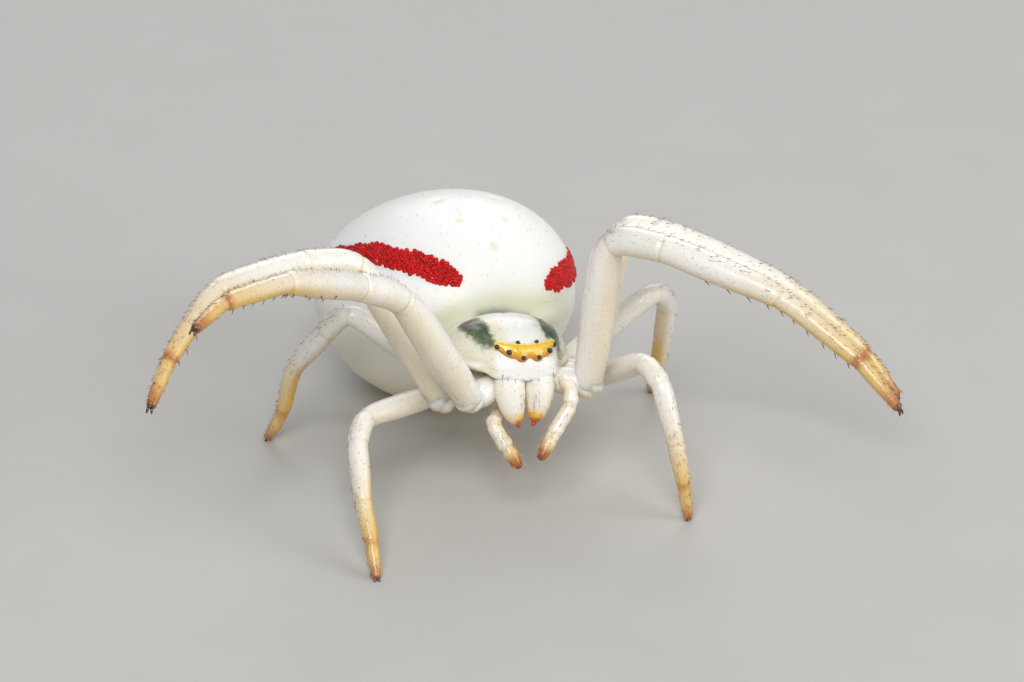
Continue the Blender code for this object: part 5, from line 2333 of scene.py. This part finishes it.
    def comb(self, coats: Coats) -> None:
        """Set the row of stiff bristles on the lower edge of the face, and scattered ones above.

        Args:
            coats: The coats that take the bristles.
        """
        random = np.random.default_rng(SEED + 90)
        sideways = np.array([-0.70, -0.52, -0.34, -0.14, 0.10, 0.30, 0.50, 0.70])
        along = CARAPACE_FORM.along(-1.40 * MM - 0.06 * MM * np.cos(sideways * 1.5))
        width, _, _ = CARAPACE_FORM.reach(along)
        around = -np.arccos(np.clip(sideways * MM / width, -0.97, 0.97))
        seats = CARAPACE_FORM.surface(along, around)
        outs = CARAPACE_FORM.normal(along, around)
        count = len(seats)
        lie = np.stack([-0.25 + 0.1 * sideways, np.full(count, -0.60), np.full(count, -0.75)], axis=-1)
        lie = lie + random.normal(0.0, 0.10, lie.shape)
        length = random.uniform(0.16, 0.24, count) * MM
        self.set_bristles(coats.dark, seats, outs, lie, length, 0.0085 * MM, 0.15)
        count = self.hairs
        along = random.uniform(-0.985, 0.55, count)
        around = np.radians(random.uniform(4.0, 176.0, count))
        seats = CARAPACE_FORM.surface(along, around)
        outs = CARAPACE_FORM.normal(along, around)
        ahead = np.array((0.0, -1.0, -0.3))
        lie = unit(ahead - (outs @ ahead)[:, None] * outs)
        lie = np.cos(0.6) * lie + np.sin(0.6) * outs + random.normal(0.0, 0.15, (count, 3))
        length = random.uniform(0.05, 0.10, count) * MM
        self.set_bristles(coats.dark, seats, outs, lie, length, 0.0045 * MM, 0.2)


@dataclass
class Face:
    """The yellow eye ridge and the eight eyes.

    The ridge's upper and lower edges are rows of a share of its half width, a place along the
    carapace's form and an angle from its crest in degrees.
    """

    upper: Stations = (
        (0.0, -0.818, 0.0), (0.31, -0.790, 16.0), (0.60, -0.728, 30.0), (0.86, -0.650, 39.5),
        (1.0, -0.630, 44.5),
    )
    lower: Stations = (
        (0.0, -0.9895, 0.0), (0.13, -0.9925, 13.0), (0.25, -0.993, 23.0), (0.37, -0.986, 31.5),
        (0.46, -0.962, 35.5), (0.58, -0.930, 42.0), (0.74, -0.860, 47.5), (0.88, -0.760, 49.5),
        (1.0, -0.665, 48.0),
    )
    height: float = 0.112 * MM
    highest: float = 0.115 * MM
    lean: float = 1.7
    across: int = 129
    deep: int = 33
    fine: int = 160
    rim: float = 0.0075 * MM

    def eye_seat(self, label: str, side: Side) -> tuple[Vector, Vector]:
        """Work out where an eye sits, in the carapace's frame.

        Args:
            label: The eye's name without its side.
            side: Its side.

        Returns:
            Its centre and the direction that it looks in.
        """
        sideways, back, radius = EYES[label]
        height = float(CARAPACE_FORM.top(np.array(sideways * MM), np.array(back * MM)))
        along = np.array([CARAPACE_FORM.along(back * MM)])
        width, tall, _ = CARAPACE_FORM.reach(along)
        angle = np.arctan2((height - CARAPACE_FORM.level) / tall, side.value * sideways * MM / width)
        out = Vector(CARAPACE_FORM.normal(along, angle)[0])
        centre = Vector((side.value * sideways * MM, (back - 0.04) * MM, height + 0.25 * radius * MM))
        return centre + out * EYE_LIFTS[label] * MM, out

    def ridge_grid(self, share: Array, rise: Array) -> tuple[Array, Array]:
        """Points and outward directions of the skin under the ridge.

        Args:
            share: Places across the ridge from -1 to 1.
            rise: Places from its lower edge (0) to its upper edge (1), evenly spread.

        Returns:
            Both tables, in rows.
        """
        size = np.abs(share)
        low = [smooth_read(self.lower, size, column) for column in (1, 2)]
        high = [smooth_read(self.upper, size, column) for column in (1, 2)]
        steps = np.linspace(0.0, 1.0, self.fine)[None, :]
        along = low[0][:, None] * (1 - steps) + high[0][:, None] * steps
        turn = low[1][:, None] * (1 - steps) + high[1][:, None] * steps
        angle = np.radians(90.0 - np.sign(share)[:, None] * turn)
        path = CARAPACE_FORM.surface(along, angle)
        length = np.linalg.norm(np.diff(path, axis=1), axis=-1)
        passed = np.concatenate([np.zeros((len(share), 1)), np.cumsum(length, axis=1)], axis=1)
        passed /= passed[:, -1:]
        where = np.array([np.interp(place, row, steps[0]) for place, row in zip(rise, passed)])
        along = low[0] * (1 - where) + high[0] * where
        turn = low[1] * (1 - where) + high[1] * where
        angle = np.radians(90.0 - np.sign(share) * turn)
        return CARAPACE_FORM.surface(along, angle), CARAPACE_FORM.normal(along, angle)

    def build_ridge(self, finish: bpy.types.Material) -> bpy.types.Object:
        """Raise the glossy bar that carries the eyes, scalloped round the front row.

        Args:
            finish: The ridge's finish.

        Returns:
            The dressed piece.
        """
        deselect_all()
        bpy.ops.mesh.primitive_grid_add(
            x_subdivisions=self.across - 1, y_subdivisions=self.deep - 1, size=2.0
        )
        item = bpy.context.view_layer.objects.active
        item.name = "eye_ridge"
        grid = read_points(item)
        share = grid[:, 0]
        rise = (grid[:, 1] + 1.0) / 2.0
        here, out = self.ridge_grid(share, rise)
        bar = np.sqrt(np.clip(1.0 - np.abs(2.0 * rise ** self.lean - 1.0) ** 2.1, 0.0, 1.0))
        crown = bar * round_end(1.0 - np.abs(share), 0.10, 0.0)
        middle_dent = hump(share, 0.10) * hump(rise - 0.22, 0.20)
        side_dent = hump(np.abs(share) - 0.42, 0.08) * hump(rise - 0.30, 0.20)
        lift = crown * 1.35 - 0.35 - 0.30 * (middle_dent + side_dent)
        lift = lift * self.height * (0.90 + 0.10 * np.abs(share))
        for side in Side:
            for label in FRONT_EYES:
                radius = EYES[label][2]
                centre = np.array(self.eye_seat(label, side)[0])
                gap = np.linalg.norm(here + out * lift[:, None] - centre, axis=1) / MM
                seat = ((centre - here) * out).sum(1) - 0.10 * radius * MM
                hold = hump(gap, radius * 1.65) * np.clip(crown * 2.2, 0.0, 1.0)
                lift = lift * (1.0 - hold) + np.minimum(seat, self.highest) * hold
        write_points(item, here + out * lift[:, None])
        apply_modifier(item, "SOLIDIFY", thickness=0.10 * MM, offset=-1.0)
        # Deeper orange towards the lower edge: partly the ridge's own colour, partly painted shade below the
        # crest.
        under = ease(0.58 - rise, 0.0, 0.44)
        paint(item, "under", np.tile(under, len(read_points(item)) // len(rise)))
        subdivide(item, 1)
        face_out(item)
        write_points(item, turned(read_points(item), CARAPACE))
        shade_smooth(item)
        return dress(item, finish)

    def build_eyes(self, finish: bpy.types.Material, rim_finish: bpy.types.Material) -> None:
        """Set eight glossy eyes in their thin pale rims.

        Args:
            finish: The eyes' finish.
            rim_finish: The rims' finish.
        """
        rims = []
        for side in Side:
            for label, (_, _, radius) in EYES.items():
                centre, look = self.eye_seat(label, side)
                node = f"eye_{label}_{side.word}"
                eye = model_ball(node + "_lens", CARAPACE @ centre, radius * MM, 32, 20)
                shade_smooth(eye)
                dress(eye, finish, [node])
                deselect_all()
                bpy.ops.mesh.primitive_torus_add(
                    major_radius=radius * MM, minor_radius=self.rim, major_segments=36, minor_segments=10
                )
                rim = bpy.context.view_layer.objects.active
                turn = look.to_track_quat("Z", "Y").to_matrix().to_4x4()
                seat = Matrix.Translation(centre - look * 0.16 * radius * MM) @ turn
                write_points(rim, turned(read_points(rim), CARAPACE @ seat))
                rims.append(rim)
        whole = join("eye_rims", rims)
        shade_smooth(whole)
        dress(whole, rim_finish)


@dataclass
class Jaw:
    """One stout jaw with its fang.

    Its inner side is pressed flat at the wall, in mm from the middle, and what lies past the wall
    keeps only a share of its reach, the give.
    """

    side: Side
    sides: int = 32
    rings: int = 34
    wall: float = 0.013
    give: float = 0.10
    short_hairs: int = 14
    inner_hairs: int = 6
    def limb(self) -> Limb:
        """Centre line and widths of the jaw.

        Returns:
            The jaw's line.
        """
        rows = tuple(
            (float(index), self.side.value * x, y, z, width, depth)
            for index, ((x, y, z), width, depth) in enumerate(JAW_LINE)
        )
        places = np.linspace(0.0, len(JAW_LINE) - 1, self.rings)
        points = np.stack([smooth_read(rows, places, column) for column in (1, 2, 3)], axis=-1) * MM
        cap = round_end(places, 0.35, 0.10)
        self.depths = smooth_read(rows, places, 5) * MM * cap
        world = turned(points, JAWS)
        ahead = np.array(JAWS)[:3, :3] @ np.array((0.0, -1.0, 0.0))
        return Limb(world, smooth_read(rows, places, 4) * MM * cap, np.tile(ahead, (len(world), 1)))

    def build(self, finish: bpy.types.Material, coats: Coats) -> bpy.types.Object:
        """Model the jaw, flat against its partner, paint and comb it.

        Args:
            finish: The skin's finish.
            coats: The coats that take the bristles.

        Returns:
            The dressed piece.
        """
        limb = self.limb()
        skin = grow_tube(f"chelicera_{self.side.word}_skin", limb.points, limb.radii, self.sides)
        subdivide(skin, 1)
        points = read_points(skin)
        run, _ = limb.locate(points)
        middle = limb.at(run, limb.points)
        ahead = limb.at(run, limb.backs)
        forward = ((points - middle) * ahead).sum(1)
        flatter = limb.at(run, self.depths) / limb.at(run, limb.radii) - 1.0
        points = points + ahead * (forward * flatter)[:, None]
        local = turned(points, JAWS.inverted())
        inner = self.side.value * local[:, 0] / MM
        past = inner - self.wall
        squeezed = self.wall + self.give * past * (past < 0) + past * (past >= 0)
        local[:, 0] = self.side.value * squeezed * MM
        write_points(skin, turned(local, JAWS))
        z = local[:, 2] / MM
        fangward = ease(-z, 1.14, 1.40)
        inside = ease(-squeezed, -0.42, -0.16)
        mark_limb(
            skin,
            straw=0.04 + 1.1 * fangward * (0.25 + 0.75 * inside),
            rust=0.95 * ease(-z, 1.36, 1.50) * ease(-squeezed, -0.40, -0.24),
            tip=np.zeros(len(z)),
            joint=np.zeros(len(z)),
            pearl=0.75 * ease(-local[:, 1] / MM, 1.2, 1.5) * (1 - fangward),
            pores=1.0 - 0.7 * fangward,
        )
        shade_smooth(skin)
        self.comb(limb, coats)
        return dress(skin, finish, [f"chelicera_{self.side.word}"])

    def comb(self, limb: Limb, coats: Coats) -> None:
        """Set the jaw's few fine bristles, longer on the inner edge.

        Args:
            limb: The jaw's line.
            coats: The coats that take the bristles.
        """
        random = np.random.default_rng(SEED + 100 + self.side.value)
        count = self.short_hairs
        run = random.uniform(0.15, 0.95, count) * limb.length
        angle = np.radians(random.uniform(20.0, 160.0, count))
        limb.comb(coats.dark, random, run, angle, (0.05 * MM, 0.09 * MM), 0.0042 * MM, (8, 26))
        count = self.inner_hairs
        run = random.uniform(0.35, 0.85, count) * limb.length
        inward = 55.0 if self.side is Side.LEFT else 125.0
        angle = np.radians(random.normal(inward, 12.0, count))
        limb.comb(coats.dark, random, run, angle, (0.14 * MM, 0.24 * MM), 0.0042 * MM, (8, 24))

    def build_fang(self, finish: bpy.types.Material) -> bpy.types.Object:
        """Model the short curved fang.

        Args:
            finish: The fang's finish.

        Returns:
            The dressed piece.
        """
        corners = turned(np.array([(self.side.value * x, y, z) for (x, y, z), _ in FANG_LINE]) * MM, JAWS)
        line = smooth_line(corners, 16)
        width = np.interp(np.linspace(0, 1, 16), (0.0, 0.5, 0.85, 1.0), (0.080, 0.064, 0.032, 0.008)) * MM
        fang = grow_tube(f"fang_{self.side.word}", line, width, 16)
        shade_smooth(fang)
        return dress(fang, finish)


@dataclass
class Palp:
    """One short feeler beside the jaws."""

    side: Side
    sides: int = 20
    rings: int = 96
    bend: float = 0.15 * MM
    foot: float = 0.56 * MM
    tip_reach: float = 0.16 * MM
    dark_hairs: int = 34
    pale_hairs: int = 150

    def limb(self) -> Limb:
        """Centre line and widths, with grooves at its joints.

        Returns:
            The feeler's line.
        """
        corners = [MODEL @ (Vector(point) * MM) for point in PALP_PATHS[self.side]]
        widths = [radius * MM for radius in PALP_RADII]
        points = [corners[0]]
        radii = [widths[0]]
        marks = []
        for index in range(1, 4):
            corner = corners[index]
            before = (corners[index - 1] - corner).normalized()
            after = (corners[index + 1] - corner).normalized()
            for step in np.linspace(0.0, 1.0, 9):
                start = corner + before * self.bend
                end = corner + after * self.bend
                points.append(start * (1 - step) ** 2 + corner * 2 * step * (1 - step) + end * step ** 2)
                radii.append(widths[index])
                if abs(step - 0.5) < 0.01:
                    marks.append(len(points) - 1)
        points.append(corners[-1])
        radii.append(widths[-1])
        table = np.array(points)
        passed = run_along(table)
        run = np.linspace(0.0, passed[-1], self.rings)
        line = read_line(run, passed, table)
        width = np.interp(run, passed, radii)
        self.joint_runs = np.append(passed[np.array(marks)], passed[-1] - self.foot)
        for joint in self.joint_runs:
            gap = run - joint
            width = width * (1.0 - 0.12 * hump(gap, 0.045 * MM) + 0.05 * hump(gap + 0.12 * MM, 0.07 * MM))
        width = width * round_end(passed[-1] - run, self.tip_reach, 0.03)
        hinge = (corners[1] - corners[0]).cross(corners[4] - corners[3])
        tangents = unit(np.gradient(line, axis=0))
        return Limb(line, width, np.cross(tangents, np.array(hinge.normalized())))

    def build(self, finish: bpy.types.Material, coats: Coats) -> bpy.types.Object:
        """Model, paint and comb the feeler.

        Args:
            finish: The skin's finish.
            coats: The coats that take the bristles.

        Returns:
            The dressed piece.
        """
        limb = self.limb()
        skin = grow_tube(f"palp_{self.side.word}_skin", limb.points, limb.radii, self.sides)
        subdivide(skin, 1)
        run, back = limb.locate(read_points(skin))
        place = run / limb.length
        near = np.min(np.abs(run[:, None] - self.joint_runs[None, :]), axis=1)
        below = ease(-back, -0.1, 0.9)
        # pearl on the back is a painted highlight; straw below is partly the palp's own yellow and partly
        # painted reflection and shade.
        mark_limb(
            skin,
            straw=0.12 + 0.25 * below + 0.7 * ease(place, 0.70, 0.90),
            pearl=0.8 * ease(back, -0.6, 0.5),
            rust=ease(place, 0.82, 0.93),
            tip=0.8 * ease(place, 0.94, 1.0),
            joint=hump(near, 0.08 * MM),
            pores=np.ones(len(run)),
        )
        shade_smooth(skin)
        random = np.random.default_rng(SEED + 120 + self.side.value)
        count = self.dark_hairs
        run = random.uniform(0.10, 0.97, count) * limb.length
        angle = random.uniform(0.0, 2 * math.pi, count)
        limb.comb(coats.dark, random, run, angle, (0.05 * MM, 0.10 * MM), 0.0040 * MM, (20, 50))
        count = self.pale_hairs
        run = random.uniform(0.30, 0.98, count) * limb.length
        angle = random.uniform(0.0, 2 * math.pi, count)
        limb.comb(coats.pale, random, run, angle, (0.12 * MM, 0.20 * MM), 0.0052 * MM, (28, 60))
        return dress(skin, finish, [f"palp_{self.side.word}"])


# Finishes of the glossy small parts

JAW_CUTICLE = LimbFinish(
    "jaw_cuticle", cream=(0.84, 0.76, 0.58), straw=(0.90, 0.52, 0.035), rust=(0.66, 0.075, 0.010)
)
RED_GRANULES = EnamelFinish(
    "red_granules",
    deep=(0.36, 0.001, 0.002),
    bright=(0.66, 0.004, 0.004),
    roughness=0.26,
    cloud_scale=9.0,
    subsurface=0.05,
    coat=0.14,
    ior=1.30,
)
RIDGE_ENAMEL = EnamelFinish(
    "eye_ridge_enamel",
    deep=(0.80, 0.48, 0.030),
    bright=(0.86, 0.60, 0.07),
    roughness=0.12,
    cloud_scale=9.0,
    relief=0.034,
    # Deeper orange under the crest, partly painted shade.
    under=(0.64, 0.23, 0.006),
)
EYE_LENS = EnamelFinish("eye_lens", (0.006, 0.003, 0.003), (0.016, 0.007, 0.006), 0.04, 5.0, subsurface=0.0)
EYE_RIM = EnamelFinish("eye_rim", (0.56, 0.28, 0.03), (0.74, 0.46, 0.09), 0.25, 5.0)
FANG_HORN = EnamelFinish("fang_horn", (0.34, 0.030, 0.010), (0.62, 0.10, 0.02), 0.15, 6.0)
CLAW_HORN = EnamelFinish("claw_horn", (0.015, 0.008, 0.006), (0.08, 0.03, 0.015), 0.15, 6.0)


def main() -> None:
    """Build the whole scene."""
    logging.basicConfig(level=logging.INFO, format="%(name)s: %(message)s")
    PhotoCamera().build()
    Studio().build()
    coats = Coats()
    cuticle = LimbFinish("limb_cuticle").build()
    shield = CarapaceFinish().build()
    horn = CLAW_HORN.build()
    abdomen = Abdomen()
    abdomen.build(AbdomenFinish().build())
    red = RED_GRANULES.build()
    for side in Side:
        abdomen.build_stripe(side, red)
    abdomen.build_spinnerets(cuticle)
    abdomen.comb(coats)
    front = Cephalothorax()
    front.build(shield)
    front.build_underside(shield)
    front.comb(coats)
    face = Face()
    face.build_ridge(RIDGE_ENAMEL.build())
    face.build_eyes(EYE_LENS.build(), EYE_RIM.build())
    fang = FANG_HORN.build()
    jaw_cuticle = JAW_CUTICLE.build()
    for side in Side:
        jaw = Jaw(side)
        jaw.build(jaw_cuticle, coats)
        jaw.build_fang(fang)
        Palp(side).build(cuticle, coats)
    for pair, side in LEG_POSES:
        leg = Leg(pair, side)
        leg.build(cuticle, coats)
        leg.build_claws(horn)
    coats.build()


if __name__ == "__main__":
    main()
